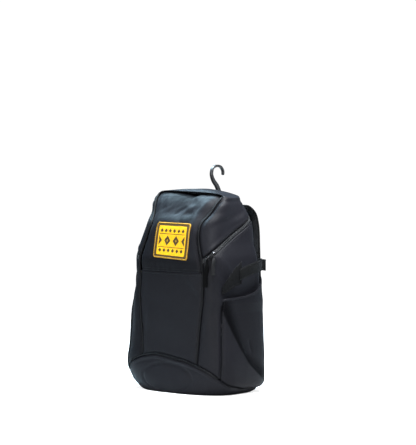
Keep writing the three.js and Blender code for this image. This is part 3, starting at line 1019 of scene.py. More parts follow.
SHELL = ClothFinish(
    "charcoal coated cloth", (0.0042, 0.0041, 0.0055), (0.007, 0.0068, 0.009), 0.5, 0.08, seams=True
)
TOE = ClothFinish(
    "toe coated cloth", (0.0048, 0.0047, 0.0063), (0.008, 0.0078, 0.0103), 0.46, 0.08,
    pitch=0.0012, seams=True,
)
POCKET = ClothFinish(
    "pocket cloth", (0.0053, 0.0052, 0.0067), (0.0088, 0.0085, 0.0108), 0.55, 0.07, seams=True
)
HEM = ClothFinish(
    "bound hem", (0.0018, 0.0018, 0.002), (0.0036, 0.0036, 0.004), 0.72, 0.07, 0.01,
    pitch=0.0014, relief=0.00015, ribs=0.5,
)
MESH = ClothFinish(
    "air mesh", (0.0026, 0.0027, 0.0032), (0.0055, 0.0056, 0.0063), 0.85, 0.2, 0.08,
    pitch=0.0026, relief=0.0006,
)
TAPE = ClothFinish(
    "zip tape", (0.0045, 0.0045, 0.0053), (0.01, 0.01, 0.0115), 0.6, 0.2,
    pitch=0.0012, relief=0.00015, ribs=0.6,
)
PIPE = ClothFinish("piping cloth", (0.0016, 0.0016, 0.0019), (0.0034, 0.0034, 0.004), 0.55, 0.1, 0.01)
WEB = ClothFinish(
    "ribbed webbing", (0.0019, 0.0019, 0.0018), (0.004, 0.0039, 0.0038), 0.72, 0.07, 0.015,
    pitch=0.0022, relief=0.0004, ribs=1.2,
)
THREAD = ClothFinish(
    "sewing thread", (0.0035, 0.0035, 0.0043), (0.008, 0.008, 0.0093), 0.5, 0.2, pitch=0.0005
)
GOLD_THREAD = ClothFinish(
    "badge thread", (0.28, 0.15, 0.012), (0.48, 0.27, 0.025), 0.6, 0.15,
    pitch=0.0007, sheen_tint=(1, 0.8, 0.4),
)
BLACK_PLASTIC = HardFinish("black plastic", (0.012, 0.012, 0.0125), (0.022, 0.022, 0.023), 0.36)
RUBBER = HardFinish(
    "soft grip", (0.0004, 0.0004, 0.0005), (0.0009, 0.0009, 0.0011), 0.7, specular=0.05, grain=1500.0
)
# A greyer copy of the soft grip, for the rear pull.
GREY_RUBBER = HardFinish(
    "worn soft grip", (0.0038, 0.0038, 0.0042), (0.007, 0.007, 0.0076), 0.55, specular=0.12, grain=1500.0
)
DARK_METAL = HardFinish(
    "dark zip metal", (0.02, 0.02, 0.021), (0.06, 0.06, 0.063), 0.24, metallic=1.0, relief=0.00002
)
COIL = HardFinish("zip coil", (0.017, 0.018, 0.0195), (0.034, 0.035, 0.037), 0.35, specular=0.3)
BADGE = BadgeFinish()


# Placing pieces in the frame

def link(name: str, data: bpy.types.ID) -> Object:
    """New object in the scene.

    Args:
        name: Its name.
        data: Its mesh, light or camera.

    Returns:
        The object.
    """
    thing = bpy.data.objects.new(name, data)
    bpy.context.scene.collection.objects.link(thing)
    return thing


def add_piece(
    name: str, mesh: Mesh | bpy.types.Mesh, finish: Finish, nodes: Sequence[str] = ()
) -> Object:
    """Puts a finished mesh into the scene as a piece of the bag.

    Args:
        name: Name of the piece.
        mesh: Its mesh, in place.
        finish: Its finish.
        nodes: The nodes that it stands for.

    Returns:
        The new object.
    """
    data = mesh.to_data(name) if isinstance(mesh, Mesh) else mesh
    piece = link(name, data)
    data.materials.clear()
    data.materials.append(finish.material())
    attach(piece, "root")
    if nodes:
        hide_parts(*nodes)
    log.info("%s: %d faces", name, len(data.polygons))
    return piece


@dataclass(frozen=True)
class Cut:
    """Flat cut of a cloth piece: width and length in metres, and its area where it isn't a rectangle."""

    width: float
    length: float
    area: float | None = None

    @property
    def size(self) -> Pair:
        """Width and length."""
        return self.width, self.length


def take_mesh(holder: Object) -> bpy.types.Mesh:
    """Mesh of a helper object with its modifiers at work. The helper is removed.

    Args:
        holder: The helper.

    Returns:
        The plain mesh.
    """
    graph = bpy.context.evaluated_depsgraph_get()
    made = bpy.data.meshes.new_from_object(holder.evaluated_get(graph), depsgraph=graph)
    data = holder.data
    holder.modifiers.clear()
    bpy.data.objects.remove(holder)
    bpy.data.meshes.remove(data)
    return made


# Cloth panels on the skin

@dataclass
class Spot:
    """Places of a net: shares across and up, and distances from the edges and X, Y, Z in millimetres."""

    s: Array
    t: Array
    around: Array
    station: Array
    left: Array
    right: Array
    low: Array
    high: Array
    x: Array
    y: Array
    z: Array


@dataclass(frozen=True)
class Rolls:
    """How deep each edge of a panel rolls into its seam, and how wide, with the factor for the lid."""

    left: float = 2.4
    right: float = 2.4
    low: float = 2.4
    high: float = 2.4
    width: float = 5.0
    upper: float = 1.0


FLAT = Rolls(0, 0, 0, 0)


@dataclass
class Sheet:
    """Both faces of some cloth as nets of points in millimetres, its flat map in metres and seam mask of dark
    seams and painted shade.
    """

    MEETING = 0.02

    outer: Array
    inner: Array
    flat: Array
    mask: Array


@dataclass
class Net(Sheet):
    """Cloth laid on the skin.

    Args:
        columns, rows: Steps across and up.
        span: First and last place around the body.
        station: Station from the place around and the share up.
        relief: Lift of the cloth.
        rolls: How its edges roll into their seams.
        thickness: Thickness of the cloth.
        shade: Share of painted shadow that isn't a seam's.
        fades: Whether its rolls fade out where it turns into the top.
    """

    EDGES = ("left", "right", "low", "high")
    LID_HEIGHTS = (375, 405)
    THREAD_LIFT = 0.3

    outer: Array = field(init=False)
    inner: Array = field(init=False)
    flat: Array = field(init=False)
    mask: Array = field(init=False)
    columns: int
    rows: int
    span: Pair
    station: Callable[[Array, Array], Array]
    relief: Callable[[Spot], Array]
    rolls: Rolls = Rolls()
    thickness: float = 1.6
    shade: Callable[[Spot], Array] | None = None
    fades: bool = False

    def __post_init__(self) -> None:
        """Works out the outer and inner points, the flat map and the seam mask of dark seams and painted
        shade.
        """
        s, t = np.meshgrid(np.linspace(0, 1, self.columns + 1), np.linspace(0, 1, self.rows + 1))
        around = lerp(*self.span, s)
        around, station = np.broadcast_arrays(around, self.station(around, t))
        base = FORM.point(around, station)
        across, up = self._way(base, axis=1), self._way(base, axis=0)
        edges = (across, across[:, -1:] - across, up, up[-1:] - up)
        self.spot = Spot(s, t, around, station, *edges, *np.moveaxis(base, -1, 0))
        width = self.rolls.width * lerp(1.0, self.rolls.upper, smoothstep(self.spot.z, *self.LID_HEIGHTS))
        sunk, mask = np.zeros_like(across), np.zeros_like(across)
        # The rolled edges make the seam mask: dark seams with painted shade in their grooves.
        for edge in self.EDGES:
            depth = getattr(self.rolls, edge)
            share = hill(getattr(self.spot, edge), 0, width)
            sunk = np.maximum(sunk, depth * share)
            mask = np.maximum(mask, share * min(1.0, depth))
        # Painted shadow: the shade is raised into the seam mask, which darkens and dulls the cloth.
        if self.shade:
            mask = np.maximum(mask, np.clip(self.shade(self.spot), 0, 1) ** (1 / ClothFinish.SEAM_POWER))
        if self.fades:
            keep = 1 - smoothstep(station, FORM.RIDGE - 0.6, FORM.RIDGE)
            sunk, mask = sunk * keep, mask * keep
        self.lift = self.relief(self.spot) - sunk
        self.normal = FORM.normal(around, station)
        self.outer = base + self.normal * self.lift[..., None]
        self.inner = base + self.normal * (self.lift - self.thickness)[..., None]
        self.flat = np.stack([across, up], axis=-1) * MM
        self.mask = mask

    @staticmethod
    def _way(points: Array, axis: int) -> Array:
        """Distance along rows or columns from their start.

        Args:
            points: Net of points.
            axis: 1 for rows, 0 for columns.

        Returns:
            Distance at each point.
        """
        steps = np.linalg.norm(np.diff(points, axis=axis), axis=-1)
        pad = [(0, 0), (0, 0)]
        pad[axis] = (1, 0)
        return np.cumsum(np.pad(steps, pad), axis=axis)

    def lift_at(self, s: Array, t: Array) -> Array:
        """Lift of the cloth at shares across and up.

        Args:
            s, t: The shares.

        Returns:
            Lift in millimetres.
        """
        x, y = np.clip(s, 0, 1) * self.columns, np.clip(t, 0, 1) * self.rows
        i = np.minimum(x.astype(int), self.columns - 1)
        j = np.minimum(y.astype(int), self.rows - 1)
        low = lerp(self.lift[j, i], self.lift[j, i + 1], x - i)
        high = lerp(self.lift[j + 1, i], self.lift[j + 1, i + 1], x - i)
        return lerp(low, high, y - j)

    def line(self, edge: str, distance: float) -> Line:
        """Line on the outer face beside an edge, and the outward directions there.

        Args:
            edge: left, right, low or high.
            distance: Distance from it in millimetres.

        Returns:
            Points and directions.
        """
        axis = 1 if edge in ("left", "right") else 0
        away = getattr(self.spot, edge).mean(axis=1 - axis)
        pick = [slice(None), slice(None)]
        pick[axis] = np.argmin(np.abs(away - distance))
        return self.thread(*pick)

    def thread(self, row: int | slice, column: int | slice) -> Line:
        """Line of a sewn thread on the outer face, and the outward directions there."""
        normals = self.normal[row, column]
        return self.outer[row, column] + normals * self.THREAD_LIFT, normals


def cloth_mesh(*sheets: Sheet) -> Mesh:
    """Closed wall from sheets that meet at their edges, still with doubled points where they meet.

    Args:
        sheets: The sheets of one piece of cloth.

    Returns:
        The wall's mesh.
    """
    outer = np.concatenate([sheet.outer.reshape(-1, 3) for sheet in sheets])
    inner = np.concatenate([sheet.inner.reshape(-1, 3) for sheet in sheets])
    flat = np.concatenate([sheet.flat.reshape(-1, 2) for sheet in sheets])
    mask = np.concatenate([sheet.mask.ravel() for sheet in sheets])
    count, start, quads = len(outer), 0, []
    for sheet in sheets:
        rows, columns = sheet.mask.shape
        quads.append(grid_faces(rows, columns, start))
        start += rows * columns
    quads = np.concatenate(quads)
    _, same = np.unique(np.round(outer / Sheet.MEETING).astype(np.int64), axis=0, return_inverse=True)
    edges = np.concatenate([quads[:, [k, (k + 1) % 4]] for k in range(4)])
    met = same.ravel()[edges].tolist()
    keys = set(map(tuple, met))
    rim = []
    for (a, b), (first, last) in zip(edges.tolist(), met):
        if first != last and (last, first) not in keys:
            rim.append([b, a, a + count, b + count])
    faces = [*quads, *(quads[:, ::-1] + count), *rim]
    points = np.concatenate([outer, inner]) * MM
    return Mesh(points, faces, np.concatenate([flat, flat]), np.concatenate([mask, mask]))


@dataclass
class ClothBody:
    """Front, lid, sides, top and toe of the bag."""

    zip_half: float = 7.0
    slit_depth: float = 5.5
    slit_widths: Rows = (
        (-82, 12), (-78, 14), (-58, 6), (-38, 10), (-19, 18), (0, 20), (17, 22), (30, 7), (60, 6),
    )
    front_folds: tuple[Fold, ...] = (
        (1.2, (58, 274), (92, 232), 9),
        (-0.7, (46, 270), (86, 222), 10),
        (1.0, (-80, 100), (-60, 200), 12),
    )
    lid_folds: tuple[Fold, ...] = (
        (-3.2, (10, 474), (31, 438), 10),
        (1.0, (2, 436), (46, 434), 10),
        (-1.4, (20, 418), (44, 420), 8),
        (-1.0, (16, 434), (-10, 416), 5),
        (2.2, (72, 450), (52, 410), 10),
        (1.6, (-54, 462), (-38, 420), 24),
        (-1.0, (-64, 460), (-74, 416), 9),
    )
    side_folds: tuple[Fold, ...] = ((-1.4, (-92, 318), (-62, 262), 8), (1.2, (-74, 330), (-40, 280), 9))
    front_cut: Cut = Cut(0.205, 0.225, 0.039)
    lid_cut: Cut = Cut(0.212, 0.206, 0.038)
    side_cut: Cut = Cut(0.215, 0.395, 0.07)
    top_cut: Cut = Cut(0.245, 0.46, 0.048)
    toe_cut: Cut = Cut(0.43, 0.33, 0.073)
    nets: dict[str, list[Net]] = field(default_factory=dict)

    def build(self) -> None:
        """Makes all panels of the body."""
        self.front()
        self.lid()
        self.top()
        self.toe()
        for side in Side:
            self.side(side)

    def dress(self, name: str, nets: list[Net], finish: Finish) -> None:
        """Turns nets into a cloth piece that stands for the node of its name.

        Args:
            name: Name of the node.
            nets: Its nets.
            finish: Its finish.
        """
        self.nets[name] = nets
        piece = add_piece(name + "_cloth", cloth_mesh(*nets), finish, [name])

    @staticmethod
    def ring(side_columns: int) -> tuple[tuple[int, int, int], ...]:
        """First and last place and columns of the four nets that go once around."""
        return (-1, 1, 96), (1, 2, side_columns), (2, 4, 96), (-2, -1, side_columns)

    def front(self) -> None:
        """Lower front, a calm panel with a drag fold in its upper right corner."""
        top = FORM.station(FORM.HINGE_SEAM)

        def relief(spot: Spot) -> Array:
            """Lift of the cloth.

            Args:
                spot: Places of the net.

            Returns:
                Lift in millimetres.
            """
            lift = 2.0 * np.sin(math.pi * spot.s) ** 0.7 * np.sin(math.pi * spot.t) ** 0.7
            lift += 0.7 * ripple(spot.x, spot.z, 120, 3) + 0.6 * hill(spot.high, 3, 2.2)
            lift += creases(spot.x, spot.z, self.front_folds)
            lift += puckers(spot.z, spot.left, 0.35, 1) + puckers(spot.z, spot.right, 0.45, 2)
            return lift + puckers(spot.x, spot.high, 0.4, 3) + puckers(spot.x, spot.low, 0.3, 4)

        rolls = Rolls(1.2, 2.4, 2.4, 0.5)
        net = Net(96, 110, (-1, 1), lambda around, t: lerp(FORM.toe(around), top, t), relief, rolls)
        self.dress("front_panel", [net], SHELL)

    def lid(self) -> None:
        """Upper front: it hangs over the hinge seam, breaks back and sinks under the top strip."""
        start = FORM.station(FORM.HINGE_SEAM)

        def relief(spot: Spot) -> Array:
            """Lift of the cloth.

            Args:
                spot: Places of the net.

            Returns:
                Lift in millimetres.
            """
            lift = 1.2 * np.sin(math.pi * spot.s) ** 0.7 + 0.7 * ripple(spot.x, spot.z, 90, 11)
            lift += 1.8 * hill(spot.z, 312, 15) * (1 - spot.around**6)
            deep = 0.75 + 0.65 * hill(spot.x, 0, 28)
            lift -= self.slit_depth * deep * (1 - spot.around**4) * smoothstep(spot.high, 19, 1)
            upper = smoothstep(spot.z, 396, 420)
            lift += upper * 0.25 * (ripple(spot.x, spot.z, 38, 12) + ripple(spot.x, spot.z, 15, 13))
            lift += creases(spot.x, spot.z, self.lid_folds)
            lift += puckers(spot.z, spot.left, 0.4, 5) + puckers(spot.z, spot.right, 0.4, 6)
            return lift + puckers(spot.x, spot.low, 0.5, 7)

        def shade(spot: Spot) -> Array:
            """Share of painted shadow: under the top strip, in a band below it, in two creases and low on the
            lid.

            Args:
                spot: Places of the net.

            Returns:
                Values of 0 to 1.
            """
            width = table_at(self.slit_widths, spot.x)
            darks = (
                smoothstep(spot.high, 1.3 * width, 0.8 * width),
                0.6 * smoothstep(spot.high, 60, 14) * hill(spot.x, -8, 48),
                0.75 * crease(spot.x, spot.z, (14, 402), (52, 408), 12),
                0.4 * crease(spot.x, spot.z, (-56, 403), (6, 405), 8),
                0.35 * smoothstep(spot.z, 322, 306),
            )
            return np.maximum.reduce(darks) * (1 - spot.around**6)

        def rise(around: Array, t: Array) -> Array:
            """Station at a place and a share up."""
            return lerp(start, FORM.RIDGE, t)

        net = Net(96, 104, (-1, 1), rise, relief, Rolls(5.2, 5.2, 0.6, 0.6, 8.0, 1.8), shade=shade)
        self.dress("lid_panel", [net], SHELL)

    def top(self) -> None:
        """Both lid sides and the top strip in one piece."""
        ridge = FORM.RIDGE

        def relief(spot: Spot) -> Array:
            """Lift of the cloth.

            Args:
                spot: Places of the net.

            Returns:
                Lift in millimetres.
            """
            a = np.abs(wrapped(spot.around))
            side = smoothstep(a, 1.0, 1.12) * (1 - smoothstep(a, 1.88, 2.0))
            side *= 1 - smoothstep(spot.station, ridge - 0.5, ridge)
            above = np.clip(spot.station - FORM.zip(np.clip(a, 1, 2), self.zip_half), 0, None)
            folds = 0.8 * hill(above, 0.6, 0.3) - 0.8 * hill(above, 1.3, 0.3) + 1.0 * hill(a, 1.4, 0.25)
            folds += 0.6 * ripple(spot.y, spot.z, 70, 21) - 1.6 * hill(spot.z, 449, 5)
            lift = side * (folds + 8.0 * hill(a, 1.26, 0.19) * hill(spot.z, 402, 30))
            beside_zip = smoothstep(a, 1.0, 1.05) * (1 - smoothstep(a, 1.93, 2.0))
            lift += 1.6 * hill(above, 0.12, 0.16) * beside_zip
            lift += 1.3 * hill(spot.station, ridge, 0.13) * (1 - smoothstep(a, 0.85, 1.0))
            on_top = smoothstep(spot.station, ridge, ridge + 0.2)
            corner = 1.5 * hill(a, 1.0, 0.18) * (1 - on_top)
            return lift + on_top * (0.7 * ripple(spot.x, spot.y, 80, 22) - corner)

        def rise(around: Array, t: Array) -> Array:
            """Station at a place and a share up."""
            return lerp(FORM.zip(around, self.zip_half), ridge, t)

        rolls = Rolls(3.6, 3.6, 1.6, 0, 7.0, 1.4)
        nets = []
        for side in Side:

            def shade(spot: Spot, near: str = side.near) -> Array:
                """Share of painted shadow beside the front seams, high on the lid sides."""
                return 0.8 * smoothstep(getattr(spot, near), 12, 5) * smoothstep(spot.z, 375, 400)

            nets.append(Net(80, 64, side.span(1, 2), rise, relief, rolls, shade=shade, fades=True))
        for low, high, columns in self.ring(80):
            nets.append(Net(columns, 34, (low, high), lambda around, t: ridge + t, relief, FLAT))
        self.dress("top_band", nets, SHELL)

    def toe(self) -> None:
        """Cup of the toe, with a second row beside its seam and a plain oval groove on its front."""

        def relief(spot: Spot) -> Array:
            """Lift of the cloth.

            Args:
                spot: Places of the net.

            Returns:
                Lift in millimetres.
            """
            place = wrapped(spot.around)
            seam = FORM.toe_height(place) - FORM.column("z", np.clip(spot.station, 0, None))
            seam = np.clip(seam, 0, None)
            front = 1 - smoothstep(np.abs(place), 1.0, 1.3)
            lip = 2.2 * hill(seam, 6.5, 4) * (1 + 0.7 * hill(spot.x, 50, 24)) - 0.9 * hill(seam, 12.5, 2.2)
            oval = np.hypot((spot.x + 6) / 76, (spot.z - 36) / 33)
            groove = 1.6 * hill(oval, 1.0, 0.06) * smoothstep(spot.station, 0.4, 1.2)
            uneven = 0.5 * ripple(spot.x + spot.y, spot.z, 60, 31)
            return smoothstep(spot.station, 0.02, 0.7) * (front * lip + uneven) - front * groove

        def up_side(around: Array, t: Array) -> Array:
            """Station at a place and a share up."""
            return FORM.toe(wrapped(around)) * t

        nets = []
        for low, high, columns in self.ring(84):
            nets.append(Net(columns, 18, (low, high), lambda around, t: t - 1, relief, FLAT))
            nets.append(Net(columns, 44, (low, high), up_side, relief, Rolls(0, 0, 0, 2.2)))
        self.dress("toe_cap", nets, TOE)

    def side(self, side: Side) -> None:
        """Gusset below a zip, with soft upright folds between the front seam and the pocket.

        Args:
            side: The side.
        """

        def rise(around: Array, t: Array) -> Array:
            """Station at a place and a share up."""
            return lerp(FORM.toe(around), FORM.zip(around, -self.zip_half), t)

        def relief(spot: Spot) -> Array:
            """Lift of the cloth.

            Args:
                spot: Places of the net.

            Returns:
                Lift in millimetres.
            """
            a = np.abs(spot.around)
            free = 1 - smoothstep(a, 1.3, 1.5) * (1 - smoothstep(spot.z, 230, 300))
            lift = 0.8 * ripple(spot.y, spot.z, 85, 41 + side.value)
            lift += 0.9 * hill(a, 1.09 + 0.012 * np.sin(spot.z / 40), 0.04) * hill(spot.z, 190, 110)
            lift -= 0.7 * hill(a, 1.16 + 0.015 * np.sin(spot.z / 52), 0.04) * hill(spot.z, 210, 110)
            lift *= smoothstep(a, 1.0, 1.05) * free
            lift -= 3.4 * hill(a, SidePockets.front - 0.004, 0.012) * (1 - smoothstep(spot.z, 205, 226))
            lift += creases(spot.y, spot.z, self.side_folds)
            lift += puckers(spot.z, getattr(spot, side.near), 0.45, 8)
            return lift + puckers(spot.y, spot.high, 0.4, 9)

        def shade(spot: Spot) -> Array:
            """Share of painted shade on the front of the left gusset."""
            return 0.3 * (1 - smoothstep(np.abs(spot.around), 1.2, 1.5)) * (side is Side.LEFT)

        net = Net(84, 150, side.span(1, 2), rise, relief, Rolls(high=0.5), shade=shade)
        self.dress(f"side_panel_{side.word}", [net], SHELL)


@dataclass
class SidePockets:
    """Open pockets on both sides, with a bound mouth and a fold that runs down from the front corner."""

    bulge: float = 13.0
    foot_rise: float = 2.0
    front: float = 1.24
    back: float = 1.995
    mouth: Rows = ((0, 224), (0.4, 227), (0.65, 236), (0.85, 254), (1, 276))
    fold: Rows = (
        (0.1, 0.92), (0.27, 0.59), (0.36, 0.44), (0.49, 0.27), (0.63, 0.16), (0.75, 0.07), (0.88, -0.01),
        (1.0, -0.1),
    )
    fold_shade: float = 0.95
    back_shade: float = 0.22
    hem_width: float = 6.0
    hem_thickness: float = 2.6
    hem_corner: float = 1.5
    hem_cover: float = 1.5
    cut: Cut = Cut(0.205, 0.275, 0.04)
    nets: dict[Side, Net] = field(default_factory=dict)

    def build(self) -> None:
        """Makes both pockets and their hems."""
        for side in Side:
            self.pocket(side)
            self.hem(side)

    def across(self, around: Array) -> Array:
        """Share of the pocket's width behind its front edge."""
        return (np.abs(around) - self.front) / (self.back - self.front)

    def pocket(self, side: Side) -> None:
        """One pocket.

        Args:
            side: The side.
        """

        def rise(around: Array, t: Array) -> Array:
            """Station at a place and a share up."""
            foot = FORM.station(FORM.toe_height(around) + self.foot_rise)
            return lerp(foot, FORM.station(table_at(self.mouth, self.across(around))), t)

        def relief(spot: Spot) -> Array:
            """Lift of the cloth.

            Args:
                spot: Places of the net.

            Returns:
                Lift in millimetres.
            """
            across = np.clip(self.across(spot.around), 0, 1)
            body = np.sin(math.pi * across) ** 0.8 * np.sin(math.pi / 2 * np.minimum(1, spot.t * 1.6))
            past = across - table_at(self.fold, spot.t)
            ridge = 4.0 * np.exp(np.minimum(past, 0) / 0.28)
            drop = 10.0 * smoothstep(past, 0, 0.2) - 6.0 * smoothstep(past, 0.2, 0.7)
            drop += 1.4 * crease(across, spot.t, (0.5, 0.6), (0.56, 0.46), 0.02)
            lift = 2.4 + body * (self.bulge - 2 + ridge - drop + 0.9 * ripple(spot.y, spot.z, 80, 51))
            lift += puckers(spot.z, getattr(spot, side.near), 0.5, 10)
            return lift + puckers(spot.y, spot.low, 0.4, 11)

        def shade(spot: Spot) -> Array:
            """Share of painted shadow in the pocket's fold and behind it.

            Args:
                spot: Places of the net.

            Returns:
                Values of 0 to 1.
            """
            past = self.across(spot.around) - table_at(self.fold, spot.t)
            end = lerp(0.34, 0.7, smoothstep(spot.t, 0.5, 0.2))
            dark = smoothstep(past, -0.015, 0.02) * (1 - smoothstep(past, 0.04, end))
            behind = self.back_shade * smoothstep(past, 0.05, 0.25)
            return np.maximum(self.fold_shade * dark * smoothstep(spot.t, 0.06, 0.2), behind)

        rolls = Rolls(*((4.2, 0.8) if side is Side.RIGHT else (0.8, 4.2)), 1.4, 0.3, 4.0)
        net = Net(86, 118, side.span(self.front, self.back), rise, relief, rolls, shade=shade)
        self.nets[side] = net
        name = f"side_pocket_{side.word}"
        piece = add_piece(name + "_cloth", cloth_mesh(net), POCKET, [name])
        f"side_panel_{side.word}_cloth"

    def hem(self, side: Side) -> None:
        """Folded binding over a pocket's mouth.

        Args:
            side: The side.
        """
        net = self.nets[side]
        middle = (net.outer[-1] + net.inner[-1]) / 2
        tangent = unit(np.gradient(middle, axis=0))
        up = square_to(unit(net.outer[-1] - net.outer[-4]), tangent)
        route = Route(middle - up * (self.hem_width / 2 - self.hem_cover), up, np.cross(tangent, up))
        band = route.band(rounded_profile(self.hem_width, self.hem_thickness, self.hem_corner))
        add_piece(f"pocket_hem_{side.word}", band, POCKET)


# Rows of stitches, teeth and threads

@functools.cache
def bead_tree() -> Tree:
    """Geometry Nodes tree that sets one small bead after another along lines.

    Returns:
        The tree.
    """
    inputs = {"Lines": "Geometry", "Pitch": "Float", "Size": "Vector", "Finish": "Material"}
    group = NodeGroup("beads along lines", "GeometryNodeTree", inputs, {"Beads": "Geometry"})
    curve = group.add("GeometryNodeMeshToCurve", {"Mesh": group.give["Lines"]}).outputs[0]
    spacing = {"Curve": curve, "Length": group.give["Pitch"]}
    even = group.add("GeometryNodeResampleCurve", spacing, mode="LENGTH").outputs[0]
    up = group.add("GeometryNodeInputNamedAttribute", {"Name": "up"}, data_type="FLOAT_VECTOR").outputs[0]
    axes = {"Primary Axis": group.add("GeometryNodeInputTangent").outputs[0], "Secondary Axis": up}
    turn = group.add("FunctionNodeAxesToRotation", axes, primary_axis="X", secondary_axis="Z").outputs[0]
    ball = group.add("GeometryNodeMeshUVSphere", {"Segments": 6, "Rings": 4, "Radius": 0.5}).outputs[0]
    bead = group.add("GeometryNodeSetShadeSmooth", {"Geometry": ball}).outputs[0]
    places = {"Points": even, "Instance": bead, "Rotation": turn, "Scale": group.give["Size"]}
    rows = group.add("GeometryNodeInstanceOnPoints", places).outputs[0]
    real = group.add("GeometryNodeRealizeInstances", {"Geometry": rows}).outputs[0]
    look = {"Geometry": real, "Material": group.give["Finish"]}
    group.fill(group.end, {"Beads": group.add("GeometryNodeSetMaterial", look).outputs[0]})
    return group.tree


@dataclass(frozen=True)
class BeadRow:
    """Rows of like beads: their spacing, and their size along, across and up, in millimetres."""

    name: str
    pitch: float
    size: Triple
    finish: Finish
    slot: Slot

    def lay(self, lines: Sequence[Line]) -> None:
        """Sets beads along lines of points in millimetres, each with its upward directions.

        Args:
            lines: The lines.
        """
        starts = np.cumsum([0] + [len(line) for line, _ in lines])
        edges = [(i + k, i + k + 1) for i, (line, _) in zip(starts, lines) for k in range(len(line) - 1)]
        points = np.concatenate([line for line, _ in lines]) * MM
        ups = np.concatenate([np.broadcast_to(up, line.shape) for line, up in lines])
        data = bpy.data.meshes.new(self.name + " lines")
        data.from_pydata(points.tolist(), edges, [])
        layer = data.attributes.new("up", "FLOAT_VECTOR", "POINT")
        layer.data.foreach_set("vector", ups.astype(np.float32).ravel())
        holder = link(data.name, data)
        modifier = holder.modifiers.new("beads", "NODES")
        modifier.node_group = bead_tree()
        size = [v * MM for v in self.size]
        values = {"Pitch": self.pitch * MM, "Size": size, "Finish": self.finish.material()}
        for item in bead_tree().interface.items_tree:
            if item.name in values:
                modifier[item.identifier] = values[item.name]
        add_piece(self.name, take_mesh(holder), self.finish)


STITCHES = BeadRow("stitches", 3.6, (3.0, 0.8, 0.7), THREAD, Slot.TRIM)
ZIP_TEETH = BeadRow("zip_teeth", 1.5, (1.1, 3.4, 1.7), COIL, Slot.TRIM)
BADGE_THREADS = BeadRow("badge_threads", 1.0, (1.0, 3.3, 1.1), GOLD_THREAD, Slot.BADGE)


# Padding

@dataclass(frozen=True)
class Puff:
    """Cloth blown up over padding by a short simulation, with some points held."""

    pressure: float = 4.0
    frames: int = 20
    quality: int = 5
    cap: float = 6.0

    def swell(self, net: Array, held: Array) -> Array:
        """Swells an open net of points.

        Args:
            net: Points in millimetres, rows by columns.
            held: How firmly each point is held, from 0 to 1.

        Returns:
            The swollen points, none moved further than the cap.
        """
        data = bpy.data.meshes.new("puff")
        data.from_pydata((net.reshape(-1, 3) * MM).tolist(), [], grid_faces(*net.shape[:2]).tolist())
        holder = link("puff", data)
        group = holder.vertex_groups.new(name="held")
        for index, weight in enumerate(held.ravel()):
            group.add([index], float(weight), "REPLACE")
        cloth = holder.modifiers.new("puff", "CLOTH")
        cloth.settings.vertex_group_mass = group.name
        cloth.settings.use_pressure = True
        cloth.settings.uniform_pressure_force = self.pressure
        cloth.settings.effector_weights.gravity = 0
        cloth.settings.quality = self.quality
        cloth.collision_settings.use_collision = False
        cloth.point_cache.frame_start = 1
        cloth.point_cache.frame_end = self.frames
        scene = bpy.context.scene
        for number in range(1, self.frames + 1):
            scene.frame_set(number)
        blown = take_mesh(holder)
        places = np.zeros(net.size, np.float32)
        blown.vertices.foreach_get("co", places)
        bpy.data.meshes.remove(blown)
        scene.frame_set(1)
        move = places.reshape(net.shape).astype(float) / MM - net
        far = np.linalg.norm(move, axis=-1, keepdims=True)
        log.info("padding swelled by up to %.1f mm", float(np.minimum(far, self.cap).max()))
        return net + move * np.minimum(1, self.cap / np.maximum(far, 1e-6))


@dataclass
class BackPad:
    """Padded back in air mesh, quilted into a yoke, two tall cushions and a channel between them."""

    pad: float = 9.0
    sewn_depth: float = 1.8
    fill: float = 0.85
    puff: Puff = Puff(cap=6.0)
    channels: tuple[float, ...] = (0.2, 0.42, 0.58, 0.8)
    foot: float = 0.12
    yoke: float = 0.78
    lines: list[Line] = field(default_factory=list)

    def build(self) -> None:
        """Makes the pad and its quilting lines."""
        start = FORM.toe(2.0)

        def relief(spot: Spot) -> Array:
            """Lift of the cloth."""
            uneven = 0.5 + 0.3 * ripple(spot.x, spot.z, 70, 61)
            return uneven - self.sewn_depth * self.quilting(spot.s, spot.t)

        rolls = Rolls(2.4, 2.4, 2.0, 0.8)
        net = Net(120, 190, (2, 4), lambda around, t: lerp(start, FORM.RIDGE, t), relief, rolls, self.pad)
        spot = net.spot
        held = np.clip(self.quilting(spot.s, spot.t) * 1.4, 0, 1)
        for edge in (spot.left, spot.right, spot.low, spot.high):
            held = np.maximum(held, 1 - smoothstep(edge, 4, 12))
        high = smoothstep(spot.z, 400, 430)
        net.outer = lerp(self.puff.swell(net.outer, np.maximum(held, high)), net.outer, high[..., None])
        piece = add_piece("back_panel_pad", cloth_mesh(net), MESH, ["back_panel"])
        middle = slice(int(self.foot * net.rows), int(self.yoke * net.rows))
        self.lines += [net.thread(middle, round(share * net.columns)) for share in self.channels]
        self.lines += [net.thread(round(share * net.rows), slice(None)) for share in (self.foot, self.yoke)]

    def quilting(self, s: Array, t: Array) -> Array:
        """Mask of the sewn lines across the pad.

        Args:
            s, t: Shares across and up.

        Returns:
            Values of 0 to 1.
        """
        inside = smoothstep(t, self.foot - 0.01, self.foot) - smoothstep(t, self.yoke, self.yoke + 0.01)
        upright = [hill(s, share, 0.012) * inside for share in self.channels]
        level = [hill(t, share, 0.007) for share in (self.foot, self.yoke)]
        return np.maximum.reduce([*upright, *level])


# Piping, zips, sliders and pulls

